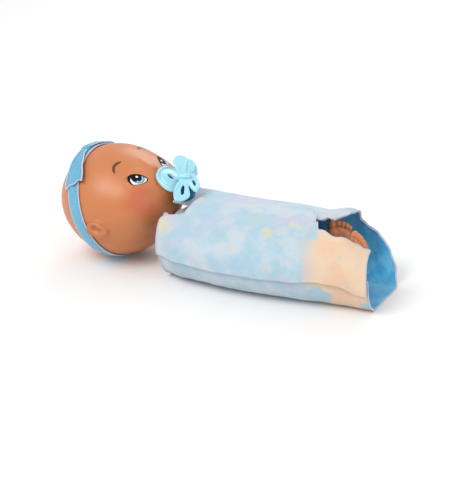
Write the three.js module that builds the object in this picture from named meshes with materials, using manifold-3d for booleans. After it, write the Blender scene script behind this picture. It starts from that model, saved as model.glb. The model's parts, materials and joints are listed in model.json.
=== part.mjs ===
// An interactive baby doll, lying on its back in a swaddle blanket, with a pacifier and a headband bow.
// Millimetres. +X points to the feet, +Y to the doll's left, +Z up. The origin is on the floor it lies on.
import * as THREE from "three";
import { mergeVertices } from "three/addons/utils/BufferGeometryUtils.js";
import Module from "manifold-3d";

const wasm = await Module();
wasm.setup();

// ---- Driving dimensions ----
const GAP = 0.3; // between pieces that touch
const deg = THREE.MathUtils.degToRad;

const HEAD = {
  centre: new THREE.Vector3(-108, 0, 52.5),
  pitch: deg(20), // how far the face nods towards the feet
  crown: 58, // radii from the centre
  chin: 66,
  nape: 52,
  side: 56,
  face: 53.5,
  back: 49.3,
  wall: 3,
};
const MOUTH = { along: 44.5, out: 51.3, tilt: deg(10), hole: 7.3, depth: 14, cupWall: 1.8 };
const SHIELD = { halfWidth: 18.5, halfHeight: 16.2, thickness: 3, curve: 40 };
const HANDLE = {
  lift: 9,
  towardsChin: 10,
  lean: deg(27),
  spin: deg(43),
  thickness: 3,
  bigWing: 24.5,
  smallWing: 15.5,
};
const NECK = {
  fromCentre: 55,
  lean: deg(11.7),
  stem: 10.4,
  hole: 11,
  seat: 14,
  flange: 14,
  collar: 13.4,
  bore: 3,
  tail: 8.8,
};
const TORSO = { hips: 40, halfWidth: 32.5, halfHeight: 28.5, middle: 31.5 };
const MODULE = { x0: -33, x1: 29, halfWidth: 22, bottom: 7.2, split: 21.5, top: 32.5 };
const BATTERY = { radius: 5.1, length: 44.5, pitch: 10.7, level: 14.2 };
const BUTTON = { x: 14, stem: 6, flange: 7.5, top: 34.8 };
const SWITCH = { x: -29, y: 8.2 };
const SWADDLE = { neck: -41, flapNeck: -20, end: 165, wall: 2, flapGap: 1.6, middle: 1.8, power: 2 / 2.4 };
const LEAD = 1.1; // radius of the signal leads

// ---- Materials ----
const paint = (color, roughness, metalness = 0) =>
  new THREE.MeshStandardMaterial({ color, roughness, metalness });
const SKIN = paint(0xd78c5f, 0.45);
const CLOTH = paint(0xe9e2d8, 0.95);
const BLANKET = paint(0xc8e1f0, 0.95);
const BAND = paint(0x73c8eb, 0.8);
const PACIFIER = paint(0xa5e6f5, 0.35);
const SOFT = paint(0xd8f2f5, 0.4);
const CASE = paint(0xe8e8e8, 0.5);
const TIE = paint(0xf2f2ee, 0.5);
const BOARD = paint(0x1f6b3a, 0.5);
const STEEL = paint(0xc0c0c4, 0.35, 1);
const CELL = paint(0x3a3f46, 0.35, 0.6);
const DARK = paint(0x1c1c1e, 0.6);

// ---- Geometry helpers ----
const v3 = (x, y, z) => new THREE.Vector3(x, y, z);

// A geometry with only merged positions, and with its faces turned to point out.
function bare(geometry) {
  const copy = geometry.clone();
  for (const name of Object.keys(copy.attributes)) if (name !== "position") copy.deleteAttribute(name);
  const merged = mergeVertices(copy, 1e-3);
  const p = merged.attributes.position;
  const index = merged.index.array;
  const [a, b, c] = [v3(), v3(), v3()];
  let volume = 0;
  for (let i = 0; i < index.length; i += 3) {
    [a, b, c].forEach((v, k) => v.fromBufferAttribute(p, index[i + k]));
    volume += a.dot(b.cross(c));
  }
  for (let i = 0; volume < 0 && i < index.length; i += 3) {
    [index[i], index[i + 1]] = [index[i + 1], index[i]];
  }
  return merged;
}

function toSolid(geometry) {
  const g = bare(geometry);
  const triVerts = new Uint32Array(g.index.array);
  const vertProperties = g.attributes.position.array;
  return new wasm.Manifold(new wasm.Mesh({ numProp: 3, vertProperties, triVerts }));
}

function toGeometry(solid) {
  const { vertProperties, triVerts } = solid.getMesh();
  const g = new THREE.BufferGeometry();
  g.setAttribute("position", new THREE.BufferAttribute(new Float32Array(vertProperties), 3));
  return g.setIndex(new THREE.BufferAttribute(triVerts, 1));
}

const cut = (body, ...tools) => toGeometry(tools.reduce((s, t) => s.subtract(toSolid(t)), toSolid(body)));
const join = (...parts) => toGeometry(parts.slice(1).reduce((s, t) => s.add(toSolid(t)), toSolid(parts[0])));
const common = (a, b) => toGeometry(toSolid(a).intersect(toSolid(b)));

// A closed skin over rings of points; a ring of one point is a pole.
function loft(rings) {
  const points = [];
  const first = rings.map((ring) => (points.push(...ring), points.length - ring.length));
  const index = [];
  const fan = (start, count, tip) => {
    for (let j = 0; j < count; j++) index.push(tip, start + j, start + ((j + 1) % count));
  };
  for (let i = 0; i + 1 < rings.length; i++) {
    const [a, b] = [rings[i].length, rings[i + 1].length];
    if (a === 1) {
      fan(first[i + 1], b, first[i]);
    } else if (b === 1) {
      rings[i].forEach((_, j) => index.push(first[i] + ((j + 1) % a), first[i] + j, first[i + 1]));
    } else {
      for (let j = 0; j < a; j++) {
        const k = (j + 1) % a;
        const [p, q, r, s] = [first[i] + j, first[i] + k, first[i + 1] + j, first[i + 1] + k];
        index.push(p, r, q, q, r, s);
      }
    }
  }
  for (const [i, flip] of [[0, false], [rings.length - 1, true]]) {
    const ring = rings[i];
    if (ring.length === 1) continue;
    const middle = ring.reduce((sum, p) => sum.add(p), v3(0, 0, 0)).divideScalar(ring.length);
    points.push(middle);
    for (let j = 0; j < ring.length; j++) {
      const [p, q] = [first[i] + j, first[i] + ((j + 1) % ring.length)];
      index.push(points.length - 1, ...(flip ? [q, p] : [p, q]));
    }
  }
  const g = new THREE.BufferGeometry().setFromPoints(points);
  g.setIndex(index);
  return g;
}

// A sheet of cloth or a shell with thickness: grid(u, v, side) is its outside at side 0 and its inside at 1.
function sheet(grid, rows, columns) {
  const points = [];
  for (const side of [0, 1])
    for (let i = 0; i <= rows; i++)
      for (let j = 0; j <= columns; j++) points.push(grid(i / rows, j / columns, side));
  const at = (i, j, side) => (side * (rows + 1) + i) * (columns + 1) + j;
  const index = [];
  const quad = (a, b, c, d) => index.push(a, b, c, a, c, d);
  for (let i = 0; i < rows; i++)
    for (let j = 0; j < columns; j++) {
      quad(at(i, j, 0), at(i + 1, j, 0), at(i + 1, j + 1, 0), at(i, j + 1, 0));
      quad(at(i, j, 1), at(i, j + 1, 1), at(i + 1, j + 1, 1), at(i + 1, j, 1));
    }
  for (let i = 0; i < rows; i++) {
    quad(at(i, 0, 0), at(i, 0, 1), at(i + 1, 0, 1), at(i + 1, 0, 0));
    quad(at(i, columns, 1), at(i, columns, 0), at(i + 1, columns, 0), at(i + 1, columns, 1));
  }
  for (let j = 0; j < columns; j++) {
    quad(at(0, j, 1), at(0, j, 0), at(0, j + 1, 0), at(0, j + 1, 1));
    quad(at(rows, j, 0), at(rows, j, 1), at(rows, j + 1, 1), at(rows, j + 1, 0));
  }
  const g = new THREE.BufferGeometry().setFromPoints(points);
  g.setIndex(index);
  return g;
}

const signedPower = (value, power) => Math.sign(value) * Math.abs(value) ** power;

// A superellipse ring of points about centre, in the plane of the unit vectors side and up.
function ring(centre, side, up, halfWidth, halfHeight, sides = 16, power = 1) {
  return Array.from({ length: sides }, (_, k) => {
    const a = (2 * Math.PI * k) / sides;
    const [c, s] = [signedPower(Math.cos(a), power), signedPower(Math.sin(a), power)];
    return centre.clone().addScaledVector(side, halfWidth * c).addScaledVector(up, halfHeight * s);
  });
}

// A round limb or lead along a polyline, with a radius at each point; rounded ends are short steps inwards.
function limb(path, radii, sides = 12, rounded = true) {
  const stations = path.map((p, i) => ({ p, r: radii[i] ?? radii[radii.length - 1] }));
  const tangent = (i) => {
    const [a, b] = [path[Math.max(0, i - 1)], path[Math.min(path.length - 1, i + 1)]];
    return b.clone().sub(a).normalize();
  };
  const rings = [];
  stations.forEach(({ p, r }, i) => {
    const t = tangent(i);
    const side = v3(0, 1, 0).cross(t).lengthSq() < 1e-6 ? v3(1, 0, 0) : v3(0, 1, 0).addScaledVector(t, -t.y);
    side.normalize();
    const up = t.clone().cross(side);
    const circle = (centre, radius) => ring(centre, side, up, radius, radius, sides);
    const end = rounded && (i === 0 ? -1 : i === stations.length - 1 ? 1 : 0);
    if (end < 0) {
      rings.push([p.clone()]);
      rings.push(circle(p.clone().addScaledVector(t, 0.12 * r), 0.55 * r));
      rings.push(circle(p.clone().addScaledVector(t, 0.45 * r), 0.88 * r));
    } else if (end > 0) {
      rings.push(circle(p.clone().addScaledVector(t, -0.45 * r), 0.88 * r));
      rings.push(circle(p.clone().addScaledVector(t, -0.12 * r), 0.55 * r));
      rings.push([p.clone()]);
    } else rings.push(circle(p, r));
  });
  return loft(rings);
}

// A ball whose radius depends on direction; its poles lie on the X axis.
function ball(radius, around = 28, along = 16) {
  const rings = [];
  for (let i = 0; i <= along; i++) {
    const t = (Math.PI * i) / along;
    const count = i === 0 || i === along ? 1 : around;
    rings.push(
      Array.from({ length: count }, (_, j) => {
        const a = (2 * Math.PI * j) / around;
        const d = v3(-Math.cos(t), Math.sin(t) * Math.cos(a), Math.sin(t) * Math.sin(a));
        return d.clone().multiplyScalar(radius(d));
      }),
    );
  }
  return loft(rings);
}

const ellipsoid = (x, y, z, around = 14, along = 8) =>
  ball((d) => 1 / Math.hypot(d.x / x, d.y / y, d.z / z), around, along);
const box = (x0, x1, y0, y1, z0, z1) =>
  new THREE.BoxGeometry(x1 - x0, y1 - y0, z1 - z0).translate((x0 + x1) / 2, (y0 + y1) / 2, (z0 + z1) / 2);
const post = (radius, z0, z1, x = 0, y = 0, sides = 20) =>
  new THREE.CylinderGeometry(radius, radius, z1 - z0, sides)
    .rotateX(Math.PI / 2)
    .translate(x, y, (z0 + z1) / 2);
// A turned piece about Z from [radius, height] pairs.
const turned = (profile, sides = 24) =>
  new THREE.LatheGeometry(profile.map(([r, z]) => new THREE.Vector2(r, z)), sides).rotateX(Math.PI / 2);

const doll = new THREE.Group();
doll.name = "interactive_baby_doll";

function add(group, name, geometry, material) {
  const mesh = new THREE.Mesh(bare(geometry), material);
  mesh.name = name;
  group.add(mesh);
  return mesh;
}

// Smooth steps through [position, value] knots.
const follow = (knots) => (x) => {
  const i = knots.findIndex(([at]) => x < at);
  if (i === 0) return knots[0][1];
  if (i < 0) return knots[knots.length - 1][1];
  const [[a, va], [b, vb]] = [knots[i - 1], knots[i]];
  return THREE.MathUtils.lerp(va, vb, THREE.MathUtils.smoothstep(x, a, b));
};

// ---- Head: a hollow vinyl shell in its own frame: +Z out of the face, +X to the chin, +Y to its left ----
const bump = (d, x, y, z, height, width) => {
  const centre = v3(x, y, z).normalize();
  return height * Math.exp(-(d.angleTo(centre) ** 2) / (2 * width * width));
};

function headRadius(d) {
  const front = THREE.MathUtils.smoothstep(d.z, -0.1, 0.75);
  const x = d.x < 0 ? HEAD.crown : THREE.MathUtils.lerp(HEAD.nape, HEAD.chin, front);
  const z = d.z > 0 ? HEAD.face : HEAD.back;
  const cheeks = bump(d, 0.62, 0.62, 0.55, 3.5, 0.3) + bump(d, 0.62, -0.62, 0.55, 3.5, 0.3);
  const mouth = bump(d, 0.8, 0, 0.6, 3.2, 0.22);
  return 1 / Math.hypot(d.x / x, d.y / HEAD.side, d.z / z) + cheeks + mouth;
}

const headGroup = new THREE.Group();
headGroup.position.copy(HEAD.centre);
headGroup.rotation.y = HEAD.pitch;
doll.add(headGroup);

// The mouth's own frame, inside the head's: +Z out along the pacifier's axis.
const mouthGroup = new THREE.Group();
mouthGroup.position.set(MOUTH.along, 0, MOUTH.out);
mouthGroup.rotation.y = MOUTH.tilt;
headGroup.add(mouthGroup);
mouthGroup.updateMatrix();
const inHead = (geometry) => geometry.clone().applyMatrix4(mouthGroup.matrix);

// The neck's frame: +Z along the axis that the head turns about, from the torso into the head.
const neckGroup = new THREE.Group();
const towardsFeet = v3(Math.cos(NECK.lean), 0, -Math.sin(NECK.lean));
neckGroup.position.copy(HEAD.centre).addScaledVector(towardsFeet, NECK.fromCentre);
neckGroup.quaternion.setFromUnitVectors(v3(0, 0, 1), towardsFeet.clone().negate());
doll.add(neckGroup);
doll.updateMatrixWorld(true);
const neckToHead = headGroup.matrixWorld.clone().invert().multiply(neckGroup.matrixWorld);
const neckPoint = (s) => v3(0, 0, s).applyMatrix4(neckGroup.matrixWorld);

const mouthFloor = -MOUTH.depth;
function headShell() {
  const outside = ball(headRadius, 32, 20);
  const inside = ball((d) => headRadius(d) - HEAD.wall, 24, 16);
  const cupOutside = inHead(post(MOUTH.hole + MOUTH.cupWall, mouthFloor - MOUTH.cupWall, -9));
  const cupInside = inHead(post(MOUTH.hole, mouthFloor, 20));
  const atNeck = (radius, s0, s1) => post(radius, s0, s1, 0, 0, 28).applyMatrix4(neckToHead);
  const ear = (side) => ellipsoid(10, 5, 8).rotateZ(side * -0.2).translate(9.5, side * (HEAD.side - 1), -4);
  const hollow = cut(inside, atNeck(NECK.seat + 4, -30, 3));
  const skin = cut(join(outside, ear(1), ear(-1)), hollow);
  return cut(join(skin, cupOutside), cupInside, atNeck(NECK.hole, -20, 20), atNeck(NECK.seat, -30, -0.3));
}
add(headGroup, "head_shell", headShell(), SKIN);

// The elastic headband follows the skull where a tilted slab cuts it.
const BAND_TILT = Math.atan2(0.634, 0.77);
function headband() {
  const [low, high] = [0.4, 2.2].map((lift) => ball((d) => headRadius(d) + lift, 32, 20));
  const slab = box(-20, -6, -80, 80, -80, 80).rotateY(-BAND_TILT);
  return common(cut(high, low), slab);
}
add(headGroup, "headband", headband(), BAND);

// The bow sits over the forehead, a little to the right: a knot and two loops that widen towards their ends.
const BOW_ROLL = deg(10);
const worn = (x, y, z) => v3(x, y, z).applyAxisAngle(v3(1, 0, 0), BOW_ROLL);
const onHead = (direction, lift) => {
  const d = direction.clone().normalize();
  return d.multiplyScalar(headRadius(d) + lift);
};
const BOW_LIFT = 5.2;
function bowLoop(side) {
  const from = worn(-44, 0, 33);
  const to = side > 0 ? worn(-45, 34, 16) : worn(-31, -42, 29);
  const rings = [0.12, 0.3, 0.6, 0.9, 1].map((t, k) => {
    const d = from.clone().lerp(to, t);
    const out = d.clone().normalize();
    const run = to.clone().sub(from).normalize();
    const across = out.clone().cross(run).normalize();
    const [halfWidth, halfThick] = [[4.5, 1.8], [7.5, 2.2], [10, 2.4], [11, 2.4], [9, 1.4]][k];
    return ring(onHead(d, BOW_LIFT), across, out, halfWidth, halfThick, 12);
  });
  return loft(rings);
}
add(headGroup, "bow_loop_left", bowLoop(1), BAND);
add(headGroup, "bow_loop_right", bowLoop(-1), BAND);
const knotAt = onHead(worn(-44, 0, 33), BOW_LIFT);
const knot = ellipsoid(2.4, 4.6, 5).rotateY(Math.atan2(33, 44)).rotateX(BOW_ROLL);
add(headGroup, "bow_knot", knot.translate(knotAt.x, knotAt.y, knotAt.z), BAND);

// The reed switch board behind the mouth cup feels the pacifier's magnet.
add(mouthGroup, "mouth_sensor", box(-3.5, 3.5, -4.5, 4.5, mouthFloor - 4.6, mouthFloor - 2.2), BOARD);

// ---- Pacifier, in the mouth's frame ----
const shieldTop = (x, y) => -(0.2 * x * x + y * y) / (2 * SHIELD.curve);
function shield() {
  const plate = sheet(
    (u, v, side) => {
      const a = 2 * Math.PI * v;
      const r = Math.max(u, 0.02);
      const [x, y] = [SHIELD.halfHeight * r * Math.cos(a), SHIELD.halfWidth * r * Math.sin(a)];
      return v3(x, y, shieldTop(x, y) - side * SHIELD.thickness);
    },
    5,
    24,
  );
  const plug = post(2.9, -6, -1);
  const stemPath = [v3(0, 0, -1.5), v3(3, -0.8, 2.5), v3(HANDLE.towardsChin * 0.82, -2, 4.6)];
  const stem = limb(stemPath, [3.4, 3, 2.4], 10);
  return join(plate, post(3, -SHIELD.thickness, 0), plug, stem);
}

add(mouthGroup, "pacifier_shield", shield(), PACIFIER);

// Butterfly handle: four wings as flat petals about the knot.
function petal(length, width, angle) {
  const shape = new THREE.Shape();
  shape.moveTo(0, -2.2);
  shape.bezierCurveTo(length * 0.4, -width * 0.62, length, -width * 0.72, length, 0);
  shape.bezierCurveTo(length, width * 0.72, length * 0.4, width * 0.62, 0, 2.2);
  shape.closePath();
  const options = { depth: HANDLE.thickness, bevelEnabled: false, curveSegments: 7 };
  const extruded = new THREE.ExtrudeGeometry(shape, options);
  return extruded.translate(0, 0, -HANDLE.thickness / 2).rotateZ(angle);
}
const handleGroup = new THREE.Group();
handleGroup.position.set(HANDLE.towardsChin, -2.6, HANDLE.lift);
handleGroup.rotation.x = HANDLE.lean;
mouthGroup.add(handleGroup);
const wings = [
  [HANDLE.bigWing, 15, HANDLE.spin + deg(99)],
  [HANDLE.bigWing, 15, HANDLE.spin - deg(99)],
  [HANDLE.smallWing, 12, HANDLE.spin + deg(40)],
  [HANDLE.smallWing, 12, HANDLE.spin - deg(40)],
];
const knob = turned([[0, -2], [2.8, -2], [4.6, 0], [2.8, 2.6], [0, 3.1]], 16);
add(handleGroup, "pacifier_handle", join(knob, ...wings.map((w) => petal(...w))), PACIFIER);

const nipple = cut(
  turned([[0, -13], [4, -12.4], [6, -10], [5.6, -6.5], [4.6, -4.9], [6.6, -4.3], [0, -4.3]].reverse(), 20),
  post(3.25, -11.3, 5),
);
add(mouthGroup, "pacifier_nipple", nipple, SOFT);
add(mouthGroup, "pacifier_magnet", post(2.9, -11, -6.5), STEEL);

// ---- Neck ----
const plugProfile = [
  [NECK.bore, -12], [NECK.tail, -12], [NECK.tail, -3.5], [NECK.collar, -3.5], [NECK.collar, -0.7],
  [NECK.stem, -0.7], [NECK.stem, 8.8], [NECK.flange, 8.8],
  [NECK.flange, 10.6], [NECK.bore, 10.6], [NECK.bore, -12],
];
add(neckGroup, "neck_plug", turned(plugProfile), CASE);
add(neckGroup, "neck_tie", turned([[12.4, -9], [14, -9], [14, -6.4], [12.4, -6.4], [12.4, -9]]), TIE);

const bodyLeadPath = [v3(-34.2, 0, 28.4), v3(-37.5, 0, 33.5), neckPoint(-12), neckPoint(-6), neckPoint(-0.2)];
const mouthPoint = (s) => v3(0, 0, s).applyMatrix4(mouthGroup.matrixWorld);
const headLeadPath = [
  neckPoint(0.2), neckPoint(6), neckPoint(12), v3(-70, 0, 51), v3(-66, 0, 61), mouthPoint(-19.2),
];
add(doll, "body_lead", limb(bodyLeadPath, [LEAD], 8, false), DARK);
add(doll, "head_lead", limb(headLeadPath, [LEAD], 8, false), DARK);

// ---- Torso: stuffed cloth with a pocket in its back for the sound module ----
const pocketRoom = 0.8;
function torso() {
  const { middle, halfWidth: w, halfHeight: h, hips } = TORSO;
  const neckSide = [v3(0, 1, 0), v3(Math.sin(NECK.lean), 0, Math.cos(NECK.lean))];
  const flat = [v3(0, 1, 0), v3(0, 0, 1)];
  const neckRing = (s, r) => ring(neckPoint(s), ...neckSide, r, r, 24);
  const bodyRing = (x, z, a, b, power = 2 / 3.2) => ring(v3(x, 0, z), ...flat, a, b, 24, power);
  const stuffed = loft([
    neckRing(-4, 12),
    neckRing(-9.5, 12),
    bodyRing(-41.5, 36.5, 18, 18, 0.9),
    bodyRing(-38, 33, 25, 24, 0.75),
    bodyRing(-30, middle, w - 3, h - 1),
    bodyRing(-5, middle, w - 0.5, h),
    bodyRing(24, middle, w, h),
    bodyRing(hips - 4, middle - 1, w - 3, h - 4),
    bodyRing(hips, middle - 1.5, w - 9, h - 10),
  ]);
  const { x0, x1, halfWidth: half, top } = MODULE;
  const wide = half + pocketRoom;
  const pocket = box(x0 - pocketRoom, x1 + pocketRoom, -wide, wide, -5, top + pocketRoom);
  const flapRecess = box(-36.3, 32.3, -24.3, 24.3, -5, 6.4);
  const buttonRoom = post(BUTTON.stem + 0.8, 20, BUTTON.top + 0.6, BUTTON.x);
  const neckRoom = post(NECK.tail + 0.4, -12.5, 2, 0, 0).applyMatrix4(neckGroup.matrixWorld);
  const leadRoom = limb([v3(-31, 0, 25), ...bodyLeadPath.slice(1, 4)], [2.4], 10, false);
  return cut(stuffed, pocket, flapRecess, buttonRoom, neckRoom, leadRoom);
}
add(doll, "torso", torso(), CLOTH);
add(doll, "torso_pocket_flap", box(-36, 32, -24, 24, 4.6, 6), CLOTH);

// ---- Sound module ----
const screwPlaces = [[-27, 19.4], [-27, -19.4], [24, 19.4], [24, -19.4]];
const doorScrew = { x: -28.2, y: 0 };
const cellRow = [-1, 0, 1].map((k) => k * BATTERY.pitch);

function rearHousing() {
  const { x0, x1, halfWidth: half, bottom, split } = MODULE;
  const tools = [
    box(-25, 25.5, -16.3, 16.3, 0, 19.6), // battery bay
    box(-25, 27, -16.9, 16.9, 0, bottom + 1.9), // door recess
    box(-31.3, -20, -5, 5, 0, bottom + 1.9), // recess for the door's tab
    box(SWITCH.x - 1.8, SWITCH.x + 1.8, SWITCH.y - 2.3, SWITCH.y + 5.3, 0, 14), // switch slot
    post(1.35, 0, 18.4, doorScrew.x, doorScrew.y, 12),
    ...screwPlaces.flatMap(([x, y]) => [post(1.35, 0, 40, x, y, 12), post(2.35, 0, 9.4, x, y, 14)]),
  ];
  return cut(box(x0, x1, -half, half, bottom, split - GAP / 2), ...tools);
}
function frontHousing() {
  const { x0, x1, halfWidth: half, split, top } = MODULE;
  const grille = [-2, -1, 0, 1, 2].map((k) => box(-25, -9, k * 4 - 0.8, k * 4 + 0.8, top - 4, top + 1));
  const tools = [
    box(-30, 25, -16.4, 16.4, 0, top - 1.8),
    post(BUTTON.stem + 0.4, 0, 60, BUTTON.x),
    ...grille,
    ...screwPlaces.map(([x, y]) => post(1.3, 0, 29.6, x, y, 12)),
  ];
  return cut(box(x0, x1, -half, half, split + GAP / 2, top), ...tools);
}
add(doll, "module_rear_housing", rearHousing(), CASE);
add(doll, "module_front_housing", frontHousing(), CASE);

const doorPlate = join(box(-24.7, 26.7, -16.6, 16.6, 7.3, 8.8), box(-31, -24, -4.7, 4.7, 7.3, 8.8));
add(doll, "battery_door", cut(doorPlate, post(1.35, 0, 20, doorScrew.x, doorScrew.y, 12)), CASE);

const screw = (head, z0, z1, headHeight = 1.3) =>
  turned([[0, z0], [head, z0], [head, z0 + headHeight], [1, z0 + headHeight], [1, z1], [0, z1]], 12);
add(doll, "battery_door_screw", screw(2, 6.4, 17.8, 0.6).translate(doorScrew.x, doorScrew.y, 0), STEEL);
screwPlaces.forEach(([x, y], k) =>
  add(doll, `housing_screw_${k + 1}`, screw(2, 7.6, 29, 1.5).translate(x, y, 0), STEEL),
);

const cellStart = -20.6;
cellRow.forEach((y, k) => {
  const { radius: r, length: l, level } = BATTERY;
  const profile = [[0, 0], [r, 0], [r, l - 1], [1.9, l - 1], [1.9, l], [0, l]];
  const cell = new THREE.LatheGeometry(profile.map(([a, b]) => new THREE.Vector2(a, b)), 16);
  add(doll, `battery_${k + 1}`, cell.rotateZ(-Math.PI / 2).translate(cellStart, y, level), CELL);
});
const spring = (y) =>
  new THREE.CylinderGeometry(1.6, 2.8, 3.2, 12).rotateZ(-Math.PI / 2).translate(-22.6, y, BATTERY.level);
const contactPlate = box(-24.7, -24, -15.5, 15.5, 10, 18.4);
add(doll, "battery_spring_contacts", join(contactPlate, ...cellRow.map(spring)), STEEL);
add(doll, "battery_plate_contacts", box(24.3, 24.9, -15.5, 15.5, 10, 18.4), STEEL);

add(doll, "circuit_board", box(-29, 24, -16, 16, 22, 23.6), BOARD);
const speakerProfile = [[0, 24], [7, 24], [7, 26.6], [12.4, 27.6], [12.4, 29.6], [0, 29.6]];
add(doll, "speaker", turned(speakerProfile).translate(-17, 0, 0), DARK);
const buttonProfile = [
  [0, 25.6], [BUTTON.stem, 25.6], [BUTTON.stem, 28.4], [BUTTON.flange, 28.4], [BUTTON.flange, 30.2],
  [BUTTON.stem, 30.2], [BUTTON.stem, BUTTON.top - 0.8], [BUTTON.stem - 1, BUTTON.top], [0, BUTTON.top],
];
add(doll, "tummy_button", turned(buttonProfile, 20).translate(BUTTON.x, 0, 0), BAND);
add(doll, "power_switch", box(SWITCH.x - 1.5, SWITCH.x + 1.5, SWITCH.y - 2, SWITCH.y + 2, 6.8, 13), DARK);

// ---- Arms and legs: cloth upper parts tied to vinyl hands and feet ----
const SOLES_IN = deg(-60); // each sole turns from the foot end towards the other foot
for (const [side, word] of [[1, "left"], [-1, "right"]]) {
  const at = (x, y, z) => v3(x, side * y, z);
  const tie = (where, towards, radius) => {
    const [outer, half] = [radius + 1.5, 1.2];
    const section = [[radius, -half], [outer, -half], [outer, half], [radius, half], [radius, -half]];
    const hoop = turned(section, 18);
    const along = towards.clone().sub(where).normalize();
    const turn = new THREE.Quaternion().setFromUnitVectors(v3(0, 0, 1), along);
    return hoop.applyQuaternion(turn).translate(where.x, where.y, where.z);
  };
  const [shoulder, elbow, wrist] = [at(-40, 37.4, 33), at(0, 42.4, 33), at(26, 45, 34)];
  const armPath = [shoulder, at(-28, 38.9, 33), at(-8, 41.4, 33), elbow];
  add(doll, `upper_arm_${word}`, limb(armPath, [7.6, 8.2, 8.2, 7.8]), CLOTH);
  const forearm = limb([at(0.8, 42.5, 33), at(8, 43.4, 33.3), wrist, at(30, 45.4, 34)], [7.6, 7.4, 5.8, 5.6]);
  const palm = ellipsoid(8, 5.6, 7).translate(34, side * 46, 34);
  const thumb = ellipsoid(5, 2.6, 2.6).rotateY(-0.6).translate(31, side * 45, 40);
  add(doll, `hand_${word}`, join(forearm, palm, thumb), SKIN);
  add(doll, `arm_tie_${word}`, tie(at(-4.6, 41.85, 33), elbow, 8.2), TIE);

  // The right leg lies straight; the left one is bent at the knee.
  const bent = side > 0;
  const hip = at(bent ? 44.5 : 41, 17, 29);
  const knee = bent ? at(72, 33, 38) : at(82, 19, 26);
  const ankle = bent ? at(104, 21, 28) : at(129, 17, 28);
  const thighPath = [hip, hip.clone().lerp(knee, 0.45), hip.clone().lerp(knee, 0.8), knee];
  add(doll, `thigh_${word}`, limb(thighPath, [14.2, 14, 12.4, 11.5], 14), CLOTH);
  const legWay = ankle.clone().sub(knee).normalize();
  const legTop = knee.clone().addScaledVector(legWay, bent ? 6 : 0.8);
  const calf = knee.clone().lerp(ankle, 0.4);
  const heel = ankle.clone().addScaledVector(legWay, 6);
  const leg = limb([legTop, calf, ankle, heel], [10.4, 10.2, 8.6, 8.2], 12);
  const footAt = bent ? at(112, 15, 43) : at(141.5, 14, 42);
  const foot = ellipsoid(8.5, 12.2, 23, 14, 10)
    .rotateY(0.1)
    .rotateZ(side * SOLES_IN)
    .translate(footAt.x, footAt.y, footAt.z);
  add(doll, `foot_${word}`, join(leg, foot), SKIN);
  const tieAt = hip.clone().lerp(knee, 0.84);
  add(doll, `leg_tie_${word}`, tie(tieAt, knee, bent ? 12.6 : 12.5), TIE);
}

// ---- Swaddle blanket: a fixed base round the body and a near flap that closes over it ----
const halfWidthAt = follow([
  [-41, 49], [-20, 56], [20, 59.5], [60, 59.5], [95, 55], [125, 50], [150, 45], [165, 41],
]);
const heightAt = follow([
  [-41, 70], [-12, 67], [20, 66], [60, 67.5], [92, 68], [120, 75], [135, 73], [165, 52],
]);
const ROUND = 4; // how far the rounded belly of the section would reach below the floor before it is cut flat

// A point of the swaddle's wall at length x and angle a (0 at the left, 90 at the top), pushed out by lift.
function wallPoint(x, a, lift, floor) {
  const [w, h] = [halfWidthAt(x), heightAt(x)];
  const [c, s] = [signedPower(Math.cos(a), SWADDLE.power), signedPower(Math.sin(a), SWADDLE.power)];
  const reach = s < 0 ? h / 2 + ROUND : h / 2;
  const z = h / 2 + (reach + lift) * s;
  return v3(x, SWADDLE.middle + (w + lift) * c, Math.max(z, floor));
}
// The blanket's ends: the left side's foot hem is swept back, and the flap's neck edge clears the pacifier.
const footEdgeAt = follow([
  [100, 158], [186, SWADDLE.end], [300, 163], [335, 157], [356, 149], [366, 137],
  [374, 125], [385, 120], [415, 124], [445, 125], [460, 116],
]);
const footEdge = (a) => footEdgeAt(THREE.MathUtils.radToDeg(a));
const flapNeckEdge = (a) =>
  THREE.MathUtils.lerp(SWADDLE.neck, SWADDLE.flapNeck, THREE.MathUtils.smoothstep(Math.cos(a), -0.8, -0.5));
// Where the wall's long edges lie, as angles along the length.
const nearEdge = follow([[-41, deg(130)], [0, deg(165)]]);
const farEdge = follow([[-41, deg(468)], [0, deg(460)], [92, deg(455)], [165, deg(456)]]);
const flapEdge = follow([
  [50, deg(77)], [79, deg(81)], [94, deg(91)], [106, deg(108)], [114, deg(123)],
  [134, deg(129)], [147, deg(126)], [158, deg(119)], [165, deg(113)],
]);
const SEAM = deg(186); // where the flap leaves the near side, which is the line it opens about

const baseSheet = sheet(
  (u, v, side) => {
    const start = THREE.MathUtils.lerp(SWADDLE.neck, SWADDLE.end, u);
    const a = THREE.MathUtils.lerp(nearEdge(start), farEdge(start), v);
    const x = THREE.MathUtils.lerp(SWADDLE.neck, footEdge(a), u);
    return wallPoint(x, a, -side * SWADDLE.wall, side * SWADDLE.wall);
  },
  18,
  30,
);
add(doll, "swaddle_base", baseSheet, BLANKET);

const flapSheet = sheet(
  (u, v, side) => {
    const start = THREE.MathUtils.lerp(SWADDLE.neck, SWADDLE.end, u);
    const a = THREE.MathUtils.lerp(SEAM, flapEdge(start), v);
    const x = THREE.MathUtils.lerp(flapNeckEdge(a), footEdge(a), u);
    return wallPoint(x, a, SWADDLE.flapGap + (1 - side) * SWADDLE.wall, 0);
  },
  18,
  14,
);
add(doll, "swaddle_flap", flapSheet, BLANKET);

// Hook-and-loop strips between the flap's free edge and the base under it.
const strip = (low, high) =>
  sheet(
    (u, v, side) => {
      const a = deg(THREE.MathUtils.lerp(81, 90, v));
      return wallPoint(THREE.MathUtils.lerp(0, 44, u), a, side ? low : high, 0);
    },
    10,
    4,
  );
add(doll, "loop_strip", strip(0.2, 0.65), TIE);
add(doll, "hook_strip", strip(0.95, 1.4), TIE);

export default doll;
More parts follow.
